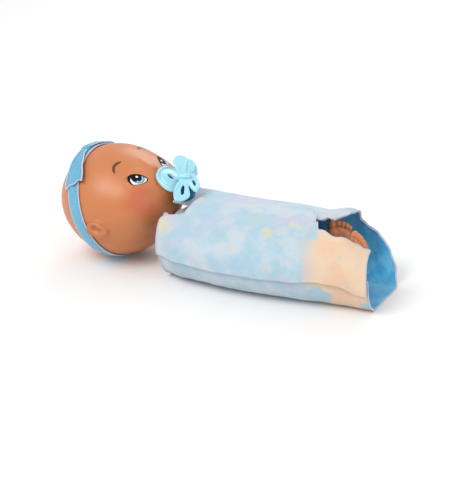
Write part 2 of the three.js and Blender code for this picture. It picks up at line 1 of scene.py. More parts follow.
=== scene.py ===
"""Looks of an interactive baby doll in its swaddle blanket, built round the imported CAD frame.

Lengths in the shape functions are millimetres and are turned into metres when a mesh is made. +X points to the
doll's feet, +Y to its left, +Z up out of its chest.
"""

import json
import math

import bmesh
import bpy
import numpy as np
from mathutils import Matrix, Vector, noise


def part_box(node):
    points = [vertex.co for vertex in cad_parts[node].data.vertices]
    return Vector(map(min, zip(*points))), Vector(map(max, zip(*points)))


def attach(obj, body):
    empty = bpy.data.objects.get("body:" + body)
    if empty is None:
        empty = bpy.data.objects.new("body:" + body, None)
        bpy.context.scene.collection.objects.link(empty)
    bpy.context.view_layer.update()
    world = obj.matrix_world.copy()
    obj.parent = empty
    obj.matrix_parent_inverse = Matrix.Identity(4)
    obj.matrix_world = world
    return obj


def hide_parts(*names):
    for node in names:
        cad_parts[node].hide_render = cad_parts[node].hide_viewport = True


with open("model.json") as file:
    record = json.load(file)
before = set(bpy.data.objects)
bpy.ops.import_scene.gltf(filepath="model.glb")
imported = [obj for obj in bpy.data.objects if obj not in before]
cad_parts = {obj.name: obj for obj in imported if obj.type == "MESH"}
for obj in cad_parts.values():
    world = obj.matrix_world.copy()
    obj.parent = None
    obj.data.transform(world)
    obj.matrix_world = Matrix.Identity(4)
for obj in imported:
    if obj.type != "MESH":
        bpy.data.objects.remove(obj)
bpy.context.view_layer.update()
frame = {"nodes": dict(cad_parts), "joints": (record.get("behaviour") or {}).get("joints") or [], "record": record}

MM = 0.001
TAU = math.tau
SIDES = ((1, "left"), (-1, "right"))  # the sign of Y and the word in the pieces' names
JOINTS = {j["name"]: j for j in frame["joints"]}


# ---- camera, lights, floor
# solved from the photograph's straight edges: lens in mm, place in metres, and the right, up and back axes
LENS, SENSOR = 125.83, 36.0
CAMERA_AT = (0.70634, -1.24522, 0.63565)
CAMERA_AXES = (
    (0.87729261, 0.47870313, -0.03465541),
    (-0.1586335, 0.35735057, 0.9203999),
    (0.45298244, -0.80196252, 0.38943936),
)
FLOOR_SIZE = 24000
LIT_AT = (0, 0, 0.05)  # the point in metres that the lamps face
SKY_STRENGTH = 0.72


def linked(name, data):
    """A new object in the scene."""
    obj = bpy.data.objects.new(name, data)
    bpy.context.scene.collection.objects.link(obj)
    return obj


def make_camera():
    data = bpy.data.cameras.new("camera")
    data.sensor_width = SENSOR
    data.lens = LENS
    cam = linked("camera", data)
    cam.matrix_world = Matrix.Translation(CAMERA_AT) @ Matrix(CAMERA_AXES).transposed().to_4x4()
    bpy.context.scene.camera = cam


def area_light(name, place, size, power, colour=(1, 1, 1)):
    data = bpy.data.lights.new(name, "AREA")
    data.shape = "DISK"
    data.size = size
    data.energy = power
    data.color = colour
    lamp = linked(name, data)
    lamp.location = place
    lamp.rotation_euler = (Vector(LIT_AT) - Vector(place)).to_track_quat("-Z", "Y").to_euler()


def paper_material():
    n = Nodes("floor_paper")
    return n.finish((0.86, 0.86, 0.86), 1.0, n.bump(n.noise(900, 2), 0.01, 0.0001), Specular_IOR_Level=0.0)


def make_studio():
    bpy.context.scene.view_settings.view_transform = "Standard"
    area_light("key", (-0.35, -0.95, 1.25), 0.9, 13, (1, 0.985, 0.96))
    area_light("fill", (1.3, -0.7, 0.7), 1.1, 5)
    area_light("rim", (-0.2, 1.2, 0.9), 0.9, 6)
    world = bpy.data.worlds.new("studio")
    bpy.context.scene.world = world
    world.use_nodes = True
    background = world.node_tree.nodes["Background"]
    background.inputs["Color"].default_value = (1, 1, 1, 1)
    background.inputs["Strength"].default_value = SKY_STRENGTH
    flat = grid_mesh(lambda u, v: (FLOOR_SIZE * (u - 0.5), FLOOR_SIZE * (v - 0.5), 0 * u), 4, 4)
    floor = linked("floor", flat)
    floor.data.materials.append(paper_material())


# ---- materials
class Nodes:
    """A short way to write a material's node tree."""

    def __init__(self, name):
        self.material = bpy.data.materials.new(name)
        self.material.use_nodes = True
        self.tree = self.material.node_tree
        self.shader = self.tree.nodes["Principled BSDF"]
        self.place = self.add("ShaderNodeTexCoord").outputs["Object"]

    def add(self, kind, operation=None, **inputs):
        node = self.tree.nodes.new(kind)
        if operation:
            node.operation = operation
        for key, value in inputs.items():
            self.put(node.inputs[key.replace("_", " ")], value)
        return node

    def put(self, socket, value):
        if hasattr(value, "is_output"):
            self.tree.links.new(value, socket)
        elif socket.type == "RGBA":
            socket.default_value = (*value, 1)
        else:
            socket.default_value = value

    def noise(self, scale, detail=3.0, rough=0.55, place=None):
        inputs = {"Scale": scale, "Detail": detail, "Roughness": rough, "Vector": place or self.place}
        return self.add("ShaderNodeTexNoise", **inputs).outputs["Fac"]

    def math(self, operation, a, b=0.0):
        node = self.add("ShaderNodeMath", operation)
        self.put(node.inputs[0], a)
        self.put(node.inputs[1], b)
        return node.outputs[0]

    def step(self, value, low, high):
        node = self.add("ShaderNodeMapRange", Value=value, From_Min=low, From_Max=high)
        node.interpolation_type = "SMOOTHSTEP"
        return node.outputs["Result"]

    def mix(self, factor, a, b):
        node = self.tree.nodes.new("ShaderNodeMix")
        node.data_type = "RGBA"
        self.put(node.inputs["Factor"], factor)
        self.put(node.inputs[6], a)  # A and B of a colour mix
        self.put(node.inputs[7], b)
        return node.outputs[2]

    def clouds(self, a, b, scale, detail, low=0.3, high=0.7, rough=0.55):
        """Colour a passing into b in soft clouds."""
        return self.mix(self.step(self.noise(scale, detail, rough), low, high), a, b)

    def wash(self, under, over, mask, share):
        """Lays a share of the colour `over` on another where the mask is 1."""
        return self.mix(self.math("MULTIPLY", mask, share), under, over)

    def axis(self, which):
        return self.add("ShaderNodeSeparateXYZ", Vector=self.place).outputs[which]

    def bump(self, height, strength, distance):
        return self.add("ShaderNodeBump", Strength=strength, Distance=distance, Height=height).outputs["Normal"]

    def vector(self, operation, other):
        """A vector operation on the place and a fixed vector."""
        node = self.add("ShaderNodeVectorMath", operation)
        self.put(node.inputs[0], self.place)
        node.inputs[1].default_value = other
        return node

    def near(self, centre, radius):
        """1 at centre, falling to 0 at radius, all in metres."""
        return self.step(self.vector("DISTANCE", centre).outputs["Value"], radius, 0.0)

    def finish(self, colour, roughness, normal=None, **sockets):
        self.put(self.shader.inputs["Base Color"], colour)
        self.put(self.shader.inputs["Roughness"], roughness)
        if normal:
            self.put(self.shader.inputs["Normal"], normal)
        for key, value in sockets.items():
            self.shader.inputs[key.replace("_", " ")].default_value = value
        return self.material


FINISH_SHARE = 0.78  # keeps a finish as bright in the studio's light as its sRGB value


def srgb(r, g, b):
    """A colour from 0 to 255, as it looks in the studio's light, as the finish's own linear colour."""
    return tuple(FINISH_SHARE * ((c / 255 + 0.055) / 1.055) ** 2.4 for c in (r, g, b))


def shade(colour, share):
    return tuple(min(1.0, c * share) for c in colour)


def plastic(name, colour, roughness, grain=0.1, fine=900, coat=0.0):
    n = Nodes(name)
    tint = n.clouds(shade(colour, 0.94), shade(colour, 1.05), 60, 2)
    rough = n.math("ADD", n.math("MULTIPLY", n.noise(fine * 0.2), 0.12), roughness - 0.06)
    normal = n.bump(n.noise(fine), grain, 0.0002)
    return n.finish(tint, rough, normal, Coat_Weight=coat, Coat_Roughness=0.15)


def weave(n, pitch):
    """The height of a plain knit: ribs along Y crossed by finer ones along X, each pitch metres wide."""
    x, y, z = (n.axis(k) for k in "XYZ")
    turn = TAU / pitch
    across = n.math("SINE", n.math("MULTIPLY", n.math("ADD", y, n.math("MULTIPLY", z, 0.8)), turn))
    along = n.math("SINE", n.math("MULTIPLY", x, turn * 0.9))
    return n.math("ADD", n.math("MULTIPLY", across, along), n.noise(2.2 / pitch, 2))


def cloth(name, colour, pitch, fuzz):
    n = Nodes(name)
    tint = n.clouds(shade(colour, 0.9), shade(colour, 1.06), 45, 4)
    threads = weave(n, pitch)
    # darker where the knit lies low: painted shade in the hollows between the threads
    tint = n.mix(n.step(threads, -0.4, 1.2), shade(colour, 0.82), tint)
    return n.finish(tint, 0.88, n.bump(threads, 0.35, 0.0003), Sheen_Weight=fuzz, Sheen_Roughness=0.5)


# ---- meshes
def smooth(mesh):
    mesh.polygons.foreach_set("use_smooth", [True] * len(mesh.polygons))
    return mesh


def to_mesh(name, points, faces):
    mesh = bpy.data.meshes.new(name)
    mesh.from_pydata((np.asarray(points, float) * MM).tolist(), [], faces)
    mesh.update()
    return smooth(mesh)


def grid_faces(rows, columns, wrap_rows=False, wrap_columns=False):
    spans = np.arange(rows - (not wrap_rows)), np.arange(columns - (not wrap_columns))
    i, j = (k.ravel() for k in np.meshgrid(*spans, indexing="ij"))
    i2, j2 = (i + 1) % rows, (j + 1) % columns
    return np.stack([i * columns + j, i2 * columns + j, i2 * columns + j2, i * columns + j2], 1).tolist()


def grid_mesh(shape, rows, columns, wrap_rows=False, wrap_columns=False):
    """A mesh from shape(u, v), which takes and returns arrays; u and v go from 0 to 1."""
    u = np.linspace(0, 1, rows, endpoint=not wrap_rows)
    v = np.linspace(0, 1, columns, endpoint=not wrap_columns)
    uu, vv = np.meshgrid(u, v, indexing="ij")
    x, y, z = shape(uu.ravel(), vv.ravel())
    points = np.stack(np.broadcast_arrays(x, y, z), 1)
    return to_mesh("grid", points, grid_faces(rows, columns, wrap_rows, wrap_columns))


def put(name, mesh, body, *materials, slot=None, stands_for=()):
    """Links a mesh as a piece that rides on body."""
    mesh.name = name
    obj = linked(name, mesh)
    for material in materials:
        mesh.materials.append(material)
    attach(obj, body)
    if stands_for:
        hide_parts(*stands_for)
    return obj


def edit(mesh, change):
    """Runs change(bm) on a mesh."""
    bm = bmesh.new()
    bm.from_mesh(mesh)
    change(bm)
    bm.to_mesh(mesh)
    bm.free()
    mesh.update()
    return mesh


def outwards(mesh):
    return edit(mesh, lambda bm: bmesh.ops.recalc_face_normals(bm, faces=bm.faces))


def evaluated(data, *modifiers):
    """A smooth mesh of a curve or mesh with (type, settings) modifiers applied."""
    obj = linked("work", data)
    for kind, settings in modifiers:
        m = obj.modifiers.new(kind, kind)
        for key, value in settings.items():
            setattr(m, key, value)
    graph = bpy.context.evaluated_depsgraph_get()
    result = bpy.data.meshes.new_from_object(obj.evaluated_get(graph))
    bpy.data.objects.remove(obj)
    return smooth(result)


def remeshed(mesh, voxel, soften, *more):
    """Even faces of one voxel size, softened, with any further modifiers."""
    remesh = ("REMESH", {"mode": "VOXEL", "voxel_size": voxel})
    return evaluated(mesh, remesh, ("SMOOTH", {"iterations": soften, "factor": 0.5}), *more)


def joined(*meshes):
    """One mesh from several, with their materials' indices kept."""
    bm = bmesh.new()
    for mesh in meshes:
        bm.from_mesh(mesh)
    result = bpy.data.meshes.new("joined")
    bm.to_mesh(result)
    bm.free()
    return smooth(result)


def points_of(mesh):
    co = np.zeros(len(mesh.vertices) * 3)
    mesh.vertices.foreach_get("co", co)
    return co.reshape(-1, 3) / MM


def normals_of(mesh):
    normals = np.zeros(len(mesh.vertices) * 3)
    mesh.vertices.foreach_get("normal", normals)
    return normals.reshape(-1, 3)


def set_points(mesh, points):
    mesh.vertices.foreach_set("co", (np.asarray(points) * MM).ravel())
    mesh.update()


def facing(mesh, away):
    """Turns a sheet's faces along the directions `away`, one for each vertex."""
    if (normals_of(mesh) * away).sum() < 0:
        mesh.flip_normals()
    return mesh


def placed(points, matrix):
    return points @ matrix[:3, :3].T + matrix[:3, 3]


def moved(mesh, matrix):
    """The mesh moved by a 4x4 matrix in millimetres."""
    set_points(mesh, placed(points_of(mesh), np.array(matrix, float)))
    return mesh


def tube(path, radius, sides=10, closed=False):
    """A round tube along points; radius is one number or one for each point."""
    path = np.asarray(path, float)
    count = len(path)
    radii = np.broadcast_to(np.asarray(radius, float), (count,))
    if closed:
        tangents = np.roll(path, -1, 0) - np.roll(path, 1, 0)
    else:
        tangents = np.gradient(path, axis=0)
    tangents /= np.linalg.norm(tangents, axis=1)[:, None]
    side = np.cross(tangents[0], (0.3, 0.5, 0.8))
    rings = []
    for point, tangent, r in zip(path, tangents, radii):
        side = side - tangent * (side @ tangent)
        side /= np.linalg.norm(side)
        other = np.cross(tangent, side)
        a = np.arange(sides) * TAU / sides
        rings.append(point + r * (np.outer(np.cos(a), side) + np.outer(np.sin(a), other)))
    points = np.concatenate(rings)
    faces = grid_faces(count, sides, wrap_rows=closed, wrap_columns=True)
    if not closed:
        faces.append(list(range(sides)))
        faces.append([(count - 1) * sides + k for k in range(sides)][::-1])
    return outwards(to_mesh("tube", points, faces))


def smoothstep(x, a, b):
    t = np.clip((np.asarray(x, float) - a) / (b - a), 0, 1)
    return t * t * (3 - 2 * t)


def lerp(a, b, t):
    return a + (b - a) * t


def signed_power(value, power):
    return np.sign(value) * np.abs(value) ** power


def follow(*knots):
    """A function that steps smoothly through (position, value) knots."""
    at, value = (np.array(k, float) for k in zip(*knots))

    def read(x):
        x = np.asarray(x, float)
        i = np.clip(np.searchsorted(at, x, "right") - 1, 0, len(at) - 2)
        return lerp(value[i], value[i + 1], smoothstep((x - at[i]) / (at[i + 1] - at[i]), 0, 1))

    return read


def wrinkle(points, scale, seed=0.0):
    """Smooth noise at each point, from about -1 to 1; scale is its size in millimetres."""
    shift = Vector((seed, seed * 1.7, -seed))
    return np.array([noise.noise(Vector(p / scale) + shift) for p in np.asarray(points, float)])


def rotation_y(angle):
    return np.array(Matrix.Rotation(angle, 4, "Y"))


def translation(x, y, z):
    return np.array(Matrix.Translation((x, y, z)))


# ---- the head's shape
HEAD_CENTRE = np.array(JOINTS["head_turn"]["pos_m"]) / MM
HEAD_PITCH = math.radians(20)
CROWN, CHIN, NAPE, SIDE, FACE, BACK = 58, 66, 52, 56, 53.5, 49.3
MOUTH_TILT = math.radians(10)
MOUTH_AT = (44.5, 0, 51.3)
HEAD = translation(*HEAD_CENTRE) @ rotation_y(HEAD_PITCH)
MOUTH_IN_HEAD = translation(*MOUTH_AT) @ rotation_y(MOUTH_TILT)
MOUTH = HEAD @ translation(*MOUTH_AT) @ rotation_y(MOUTH_TILT)
FACE_SHIFT = -3.6  # the face looks a little towards the doll's right
EYE_ALONG, EYE_UP = 19.2, 44.6
EYE_OUT = {1: 19.6, -1: 21.0}
LID_TILT = math.radians(-14)
NOSE_X, BRIDGE_X, NOSTRIL_X, NOSTRIL_OUT = 22.5, 14, 26.6, 2.0
LIP_RING = 9.6
EAR_AT, EAR_LEAN = (9.5, -4), 0.25
HEAD_GRID = 96
MOUTH_HOLE, NECK_HOLE = 7.3, 11.2  # radii
MOUTH_CUP = [(7.2, -9.5), (7.15, -11.5), (7.15, -13.2), (6.4, -13.9), (0.4, -14.0)]
NECK_SOCKET = [(11.0, 53.5), (11.0, 50.0), (15, 49), (15, 46), (0.5, 46)]
# (direction, height, spread) of the cheeks and the chin on the skull
SKULL_BUMPS = (((0.62, 0.62, 0.55), 3.5, 0.3), ((0.62, -0.62, 0.55), 3.5, 0.3), ((0.8, 0, 0.6), 3.2, 0.22))


def bump(d, centre, height, width):
    c = np.asarray(centre, float)
    angle = np.arccos(np.clip(d @ (c / np.linalg.norm(c)), -1, 1))
    return height * np.exp(-(angle**2) / (2 * width**2))


def skull(d):
    """The bare head's radius in the directions d, as in the CAD."""
    x = np.where(d[:, 0] < 0, CROWN, lerp(NAPE, CHIN, smoothstep(d[:, 2], -0.1, 0.75)))
    z = np.where(d[:, 2] > 0, FACE, BACK)
    r = 1 / np.sqrt((d[:, 0] / x) ** 2 + (d[:, 1] / SIDE) ** 2 + (d[:, 2] / z) ** 2)
    for swelling in SKULL_BUMPS:
        r = r + bump(d, *swelling)
    return r


def eye_place(side):
    return np.array((EYE_ALONG, FACE_SHIFT + side * EYE_OUT[side], EYE_UP))


def bell(x):
    return np.exp(-(x**2))


def features(d, r):
    """What the moulded face adds to the skull: eye mounds and lid folds, nose, lips, chin and ears."""
    p = d * r[:, None]
    add = np.zeros(len(d))
    front = p[:, 2] > 10
    for side in (-1, 1):
        at = eye_place(side)
        along, out = p[:, 0] - at[0], side * (p[:, 1] - at[1])
        e1 = along * math.cos(LID_TILT) + out * math.sin(LID_TILT)
        e2 = out * math.cos(LID_TILT) - along * math.sin(LID_TILT)
        reach = np.hypot(e1 / 8.4, e2 / 9.8)
        add += front * 0.6 * np.exp(-(reach**2) * 0.9)
        fold = bell((reach - 1.22) / 0.09) * smoothstep(-e1 / 8, -0.1, 0.8)
        add -= front * 0.22 * fold
    x, y = p[:, 0], p[:, 1] - FACE_SHIFT
    nose = np.hypot((x - NOSE_X) / 4.6, y / 4.4)
    bridge = np.hypot((x - BRIDGE_X) / 9, y / 4.5)
    nostrils = sum(bell(np.hypot(x - NOSTRIL_X, y - s * NOSTRIL_OUT)) for s in (-1, 1))
    add += front * (2.3 * bell(nose) + 0.9 * bell(bridge) - 0.5 * nostrils)
    m = placed(p, np.linalg.inv(MOUTH_IN_HEAD))
    add += front * 1.5 * bell((np.hypot(m[:, 0], m[:, 1] / 1.25) - LIP_RING) / 1.9)
    add += bump(d, (62, 0, 14), 1.6, 0.16) - bump(d, (60, 0, 24), 0.7, 0.09)
    return add + ears(p)


def ears(p):
    """Raised ears with a rim, a hollow and a lobe."""
    add = np.zeros(len(p))
    for side in (-1, 1):
        here = side * p[:, 1] > 30
        along, up = p[:, 0] - EAR_AT[0], p[:, 2] - EAR_AT[1]
        a, b = along + EAR_LEAN * up, up - EAR_LEAN * along
        lobe = smoothstep(a, 2, 10)
        reach = np.hypot(a / 10.5, b / lerp(8.2, 5.6, lobe))
        body = smoothstep(reach, 1.16, 0.86)
        hollow = smoothstep(np.hypot((a + 0.6) / 6.4, (b - 1.2) / 4.6), 1.0, 0.45)
        groove = bell((reach - 0.72) / 0.07) * smoothstep(-a, -4, 2)
        tragus = bell(np.hypot((a - 1.5) / 2.2, (b - 4.4) / 1.7))
        add += here * (5.0 * body - 3.4 * hollow - 1.0 * groove * body + 1.6 * tragus)
    return add


def surface(d):
    r = skull(d)
    return r + features(d, r)


def unit(p):
    p = np.asarray(p, float)
    return p / np.linalg.norm(p, axis=-1, keepdims=True)


def on_face(p, lift=0.0):
    """Head points over the directions of p, lifted off the moulded face."""
    d = unit(p)
    return d * (surface(d) + lift)[:, None]


def cube_sphere(n):
    """Unit directions and faces of a ball made from six even grids."""
    t = np.tan(np.linspace(-1, 1, n + 1) * math.pi / 4)
    a, b = (g.ravel() for g in np.meshgrid(t, t, indexing="ij"))
    one = np.ones_like(a)
    sides = [(one, a, b), (-one, b, a), (b, one, a), (a, -one, b), (a, b, one), (b, a, -one)]
    points = unit(np.concatenate([np.stack(s, 1) for s in sides]))
    one_side = np.array(grid_faces(n + 1, n + 1))
    faces = np.concatenate([one_side + k * (n + 1) ** 2 for k in range(6)])
    key = np.round(points, 6)
    _, first, index = np.unique(key, axis=0, return_index=True, return_inverse=True)
    return points[first], index.reshape(-1)[faces].tolist()


def open_round(points, faces, frame_matrix, radius, above):
    """Cuts a round hole about a frame's Z axis where the surface lies above `above` in it.

    Gives the new faces and the hole's rim in order.
    """
    local = placed(points, np.linalg.inv(frame_matrix))
    out = np.hypot(local[:, 0], local[:, 1])
    inside = (out < radius) & (local[:, 2] > above)
    kept = [f for f in faces if not any(inside[k] for k in f)]
    cut = [f for f in faces if any(inside[k] for k in f)]
    count = {}
    for f in cut:
        for k in range(4):
            e = (f[k], f[(k + 1) % 4])
            count[e] = count.get(e, 0) + 1
    rim_edges = [e for e in count if (e[1], e[0]) not in count]
    rim = sorted({k for e in rim_edges for k in e}, key=lambda k: math.atan2(local[k, 1], local[k, 0]))
    local[rim, :2] *= (radius / out[rim])[:, None]
    points[rim] = placed(local[rim], frame_matrix)
    return kept, rim


def line_hole(points, faces, rim, frame_matrix, profile):
    """Continues a hole's rim through (radius, depth) rings about the frame's Z axis, and closes the last."""
    local = placed(points[rim], np.linalg.inv(frame_matrix))
    angles = np.arctan2(local[:, 1], local[:, 0])
    rings, last = [], list(rim)
    total = len(points)
    for r, depth in profile:
        ring = np.stack([r * np.cos(angles), r * np.sin(angles), np.full(len(rim), depth)], 1)
        rings.append(placed(ring, frame_matrix))
        new = list(range(total, total + len(rim)))
        after = [(k + 1) % len(rim) for k in range(len(rim))]
        faces += [[last[k], last[n], new[n], new[k]] for k, n in enumerate(after)]
        last, total = new, total + len(rim)
    faces.append(last)
    return np.concatenate([points, *rings]), faces


def neck_frame():
    """The frame of the neck hole in the head's own frame: Z along the turning axis into the head."""
    axis = np.array(JOINTS["head_turn"]["axis"], float)
    to_feet = axis * np.sign(axis[0])
    local = rotation_y(-HEAD_PITCH)[:3, :3] @ to_feet
    turn = Vector((0, 0, 1)).rotation_difference(Vector(local)).to_matrix().to_4x4()
    return np.array(turn)


SKIN_TONE, BLUSH, LIP_RED = srgb(214, 131, 78), srgb(205, 92, 58), srgb(190, 78, 60)


def skin_material():
    n = Nodes("skin_vinyl")
    base = n.clouds(shade(SKIN_TONE, 0.96), shade(SKIN_TONE, 1.04), 28, 3)
    for side in (-1, 1):
        cheek = (HEAD @ np.array((35, side * 36, 33, 1)))[:3] * MM
        base = n.wash(base, BLUSH, n.near(tuple(cheek), 0.024), 0.75)
    lips = (MOUTH @ np.array((0, 0, -8, 1)))[:3] * MM
    base = n.wash(base, LIP_RED, n.near(tuple(lips), 0.02), 0.8)
    soft = {"Subsurface_Weight": 0.08, "Subsurface_Scale": 0.004, "Subsurface_Radius": (1.0, 0.4, 0.2)}
    normal = n.bump(n.noise(700, 2), 0.12, 0.0002)
    return n.finish(base, 0.42, normal, Coat_Weight=0.12, Coat_Roughness=0.3, **soft)


def make_head():
    directions, faces = cube_sphere(HEAD_GRID)
    points = directions * surface(directions)[:, None]
    holes = ((MOUTH_IN_HEAD, MOUTH_HOLE, -20, MOUTH_CUP), (neck_frame(), NECK_HOLE, 20, NECK_SOCKET))
    for about, radius, above, profile in holes:
        faces, rim = open_round(points, faces, about, radius, above)
        points, faces = line_hole(points, faces, rim, about, profile)
    mesh = outwards(to_mesh("head", points, faces))
    return put("head_skin", moved(mesh, HEAD), "head", SKIN, slot="skin_vinyl", stands_for=["head_shell"])


# ---- printed eyes and brows
def catmull(points, per_span=8, closed=True):
    """A smooth curve through given points."""
    p = np.asarray(points, float)
    count = len(p)
    spans = count if closed else count - 1
    out = []
    for i in range(spans):
        ids = [(i - 1) % count, i % count, (i + 1) % count, (i + 2) % count]
        if not closed:
            ids = [max(i - 1, 0), i, i + 1, min(i + 2, count - 1)]
        a, b, c, d = p[ids]
        square, cube = 2 * a - 5 * b + 4 * c - d, 3 * b - a - 3 * c + d
        for t in np.arange(per_span) / per_span:
            out.append(0.5 * (2 * b + (c - a) * t + square * t * t + cube * t**3))
    if not closed:
        out.append(p[-1])
    return np.array(out)


def clipped(polygon, window):
    """polygon cut to a convex window; both run anticlockwise."""
    result = list(polygon)
    for a, b in zip(window, np.roll(window, -1, 0)):

        def inside(q, a=a, b=b):
            return (b[0] - a[0]) * (q[1] - a[1]) - (b[1] - a[1]) * (q[0] - a[0]) >= -1e-9

        source, result = result, []
        for p, q in zip(source, source[1:] + source[:1]):
            if inside(p) != inside(q):
                n = np.array((-(b - a)[1], (b - a)[0]))
                t = (n @ (a - p)) / (n @ (q - p))
                crossing = p + t * (q - p)
                result += [crossing] if inside(p) else [crossing, q]
            elif inside(q):
                result.append(q)
    return np.array(result)


def resampled(outline, count):
    closed = np.concatenate([outline, outline[:1]])
    length = np.concatenate([[0], np.cumsum(np.linalg.norm(np.diff(closed, axis=0), axis=1))])
    at = np.linspace(0, length[-1], count, endpoint=False)
    return np.stack([np.interp(at, length, closed[:, k]) for k in (0, 1)], 1)


PRINT_SIDES = 72


def print_on_face(outline, side, at, lift, rings=7):
    """A thin printed patch on the moulded face.

    The outline is (towards the chin, towards the nose) about the eye at `at`.
    """
    outline = resampled(outline, PRINT_SIDES)
    middle = outline.mean(0)
    layers = [middle + (outline - middle) * (k + 1) / rings for k in range(rings)]
    flat = np.concatenate([middle[None], *layers])
    local = np.stack([at[0] + flat[:, 0], at[1] - side * flat[:, 1], np.full(len(flat), at[2])], 1)
    after = [(k + 1) % PRINT_SIDES for k in range(PRINT_SIDES)]
    faces = [[0, 1 + k, 1 + n] for k, n in enumerate(after)]
    for ring in range(rings - 1):
        a, b = 1 + ring * PRINT_SIDES, 1 + (ring + 1) * PRINT_SIDES
        faces += [[a + k, b + k, b + n, a + n] for k, n in enumerate(after)]
    mesh = to_mesh("print", on_face(local, lift), faces)
    return moved(facing(mesh, points_of(mesh)), HEAD)


def circle(x, y, radius, squeeze=1.0):
    a = np.arange(64) * TAU / 64
    return np.stack([x + radius * squeeze * np.cos(a), y + radius * np.sin(a)], 1)


EYE_OUTLINE = [
    (1.8, -9.3), (-2.6, -8.0), (-5.6, -5.2), (-6.3, -1.6), (-4.4, 2.2), (-0.6, 5.3), (3.2, 6.7), (6.6, 6.4),
    (7.8, 4.2), (7.8, 0.4), (6.5, -3.4), (4.6, -6.8),
]
LASHES = [((-5.2, -4.4), (-9.2, -4.0)), ((-4.2, -6.2), (-8.4, -7.2)), ((-2.4, -7.8), (-6.4, -9.6))]
EYE_SCALE, WHITE_SHARE, WHITE_SHIFT = 1.12, (0.76, 0.84), (1.3, -0.1)
STROKE = 1.15  # width of a lash and a brow
BROW = [(-18.6, -8.6), (-22.0, -6.0), (-24.0, -0.8), (-23.6, 3.8), (-21.6, 7.6)]


def make_eyes():
    ink = plastic("eye_ink", (0.004, 0.003, 0.004), 0.55, grain=0.02)
    ink.node_tree.nodes["Principled BSDF"].inputs["Specular IOR Level"].default_value = 0.15  # dull as print
    white = plastic("eye_white", srgb(255, 255, 255), 0.35, grain=0.02, coat=0.2)
    blue = iris_material()
    rim_blue = plastic("eye_iris_rim", srgb(38, 78, 112), 0.22, grain=0.02, coat=0.6)
    brow_ink = plastic("brow_ink", srgb(112, 56, 26), 0.4, grain=0.05)
    outline = catmull(EYE_OUTLINE)
    if np.cross(outline[1] - outline[0], outline[2] - outline[1]) < 0:
        outline = outline[::-1]
    outline = outline * EYE_SCALE
    inner = outline * WHITE_SHARE + WHITE_SHIFT
    materials = [ink, white, rim_blue, blue]
    layers = [  # (outline, lift over the face, index of the material)
        (outline, 0.05, 0),  # lid line
        (inner, 0.09, 1),  # white of the eye
        (clipped(circle(1.2, 0.3, 6.1, 0.96), inner), 0.13, 2),  # iris's rim
        (clipped(circle(1.3, 0.3, 5.3, 0.96), inner), 0.17, 3),  # iris
        (clipped(circle(-0.6, -0.1, 5.1, 0.92), inner), 0.21, 0),  # pupil
        (circle(-1.1, 1.2, 1.15), 0.25, 1),  # the gleams
        (circle(2.9, -2.5, 0.62), 0.25, 1),
    ]
    for side, word in SIDES:
        at = eye_place(side)
        parts = []
        for shape, lift, index in layers:
            mesh = print_on_face(shape, side, at, lift)
            mesh.polygons.foreach_set("material_index", [index] * len(mesh.polygons))
            parts.append(mesh)
        parts += [print_on_face(lash(*ends, STROKE), side, at, 0.06, rings=3) for ends in LASHES]
        put(f"eye_print_{word}", joined(*parts), "head", *materials)
        brow = print_on_face(stroke(BROW, STROKE), side, at, 0.06, rings=3)
        put(f"brow_print_{word}", brow, "head", brow_ink)


def lash(root, tip, width):
    root, tip = np.array(root), np.array(tip)
    run = tip - root
    across = np.array((-run[1], run[0])) / np.linalg.norm(run) * width / 2
    bow = across * 0.9
    over, under = root + run * 0.5 + across * 0.6 + bow, root + run * 0.5 - across * 0.5 + bow
    return catmull([root + across, over, tip + bow, under, root - across], 6)


def stroke(points, width):
    """A brush stroke along points that thins towards both ends."""
    line = catmull(points, 8, closed=False)
    run = np.gradient(line, axis=0)
    across = np.stack([-run[:, 1], run[:, 0]], 1) / np.linalg.norm(run, axis=1)[:, None]
    t = np.linspace(0, 1, len(line))
    half = width * (0.12 + 0.88 * np.sin(math.pi * np.clip(t * 0.86 + 0.07, 0, 1)) ** 0.8)
    return np.concatenate([line + across * half[:, None], (line - across * half[:, None])[::-1]])


def iris_material():
    n = Nodes("eye_iris")
    colour = n.clouds(srgb(96, 168, 214), srgb(176, 222, 244), 900, 4, 0.35, 0.65, 0.7)
    return n.finish(colour, 0.2, Coat_Weight=0.6, Coat_Roughness=0.1)


# ---- pacifier
SHIELD_CURVE = 40
HANDLE = MOUTH @ translation(10, -2.6, 9) @ np.array(Matrix.Rotation(math.radians(27), 4, "X"))
VENT, VENT_HALF = (-2.4, -1.9), (3.5, 2.6)
STEM = [(3.2, 0.4, -1.5), (4.4, -0.2, 1.6), (6.2, -1.2, 3.6), (8.6, -2, 5.2)]
# (share of the shield's radius, height) from the middle of its face round the rim to the middle of its back
RIM_PROFILE = [
    (0.0, 0.0), (0.35, 0.0), (0.62, 0.0), (0.70, 0.05), (0.74, -0.1), (0.77, -0.6), (0.80, -0.8), (0.83, -0.6),
    (0.86, 0.15), (0.89, 0.5), (0.93, 0.6), (0.97, 0.35), (0.993, -0.3), (1.0, -1.2), (0.99, -2.1), (0.95, -2.75),
    (0.85, -3.0), (0.5, -3.0), (0.0, -3.0),
]
SHIELD_OUTLINE = [
    (16.0, 0.0), (15.2, 8.0), (11.4, 14.2), (4.0, 17.8), (-5.0, 17.2), (-12.4, 12.6), (-15.4, 4.4), (-15.7, -4.0),
    (-13.5, -10.6), (-9.4, -14.2), (-3.6, -16.2), (3.2, -16.8), (9.2, -15.0), (13.6, -10.6), (15.8, -5.4),
]


def shield_reach():
    """The shield's radius as a function of the angle."""
    line = catmull(SHIELD_OUTLINE, 8)
    angle = np.arctan2(line[:, 1], line[:, 0]) % TAU
    order = np.argsort(angle)
    radius = np.hypot(line[:, 0], line[:, 1])
    return lambda a: np.interp(a, angle[order], radius[order], period=TAU)


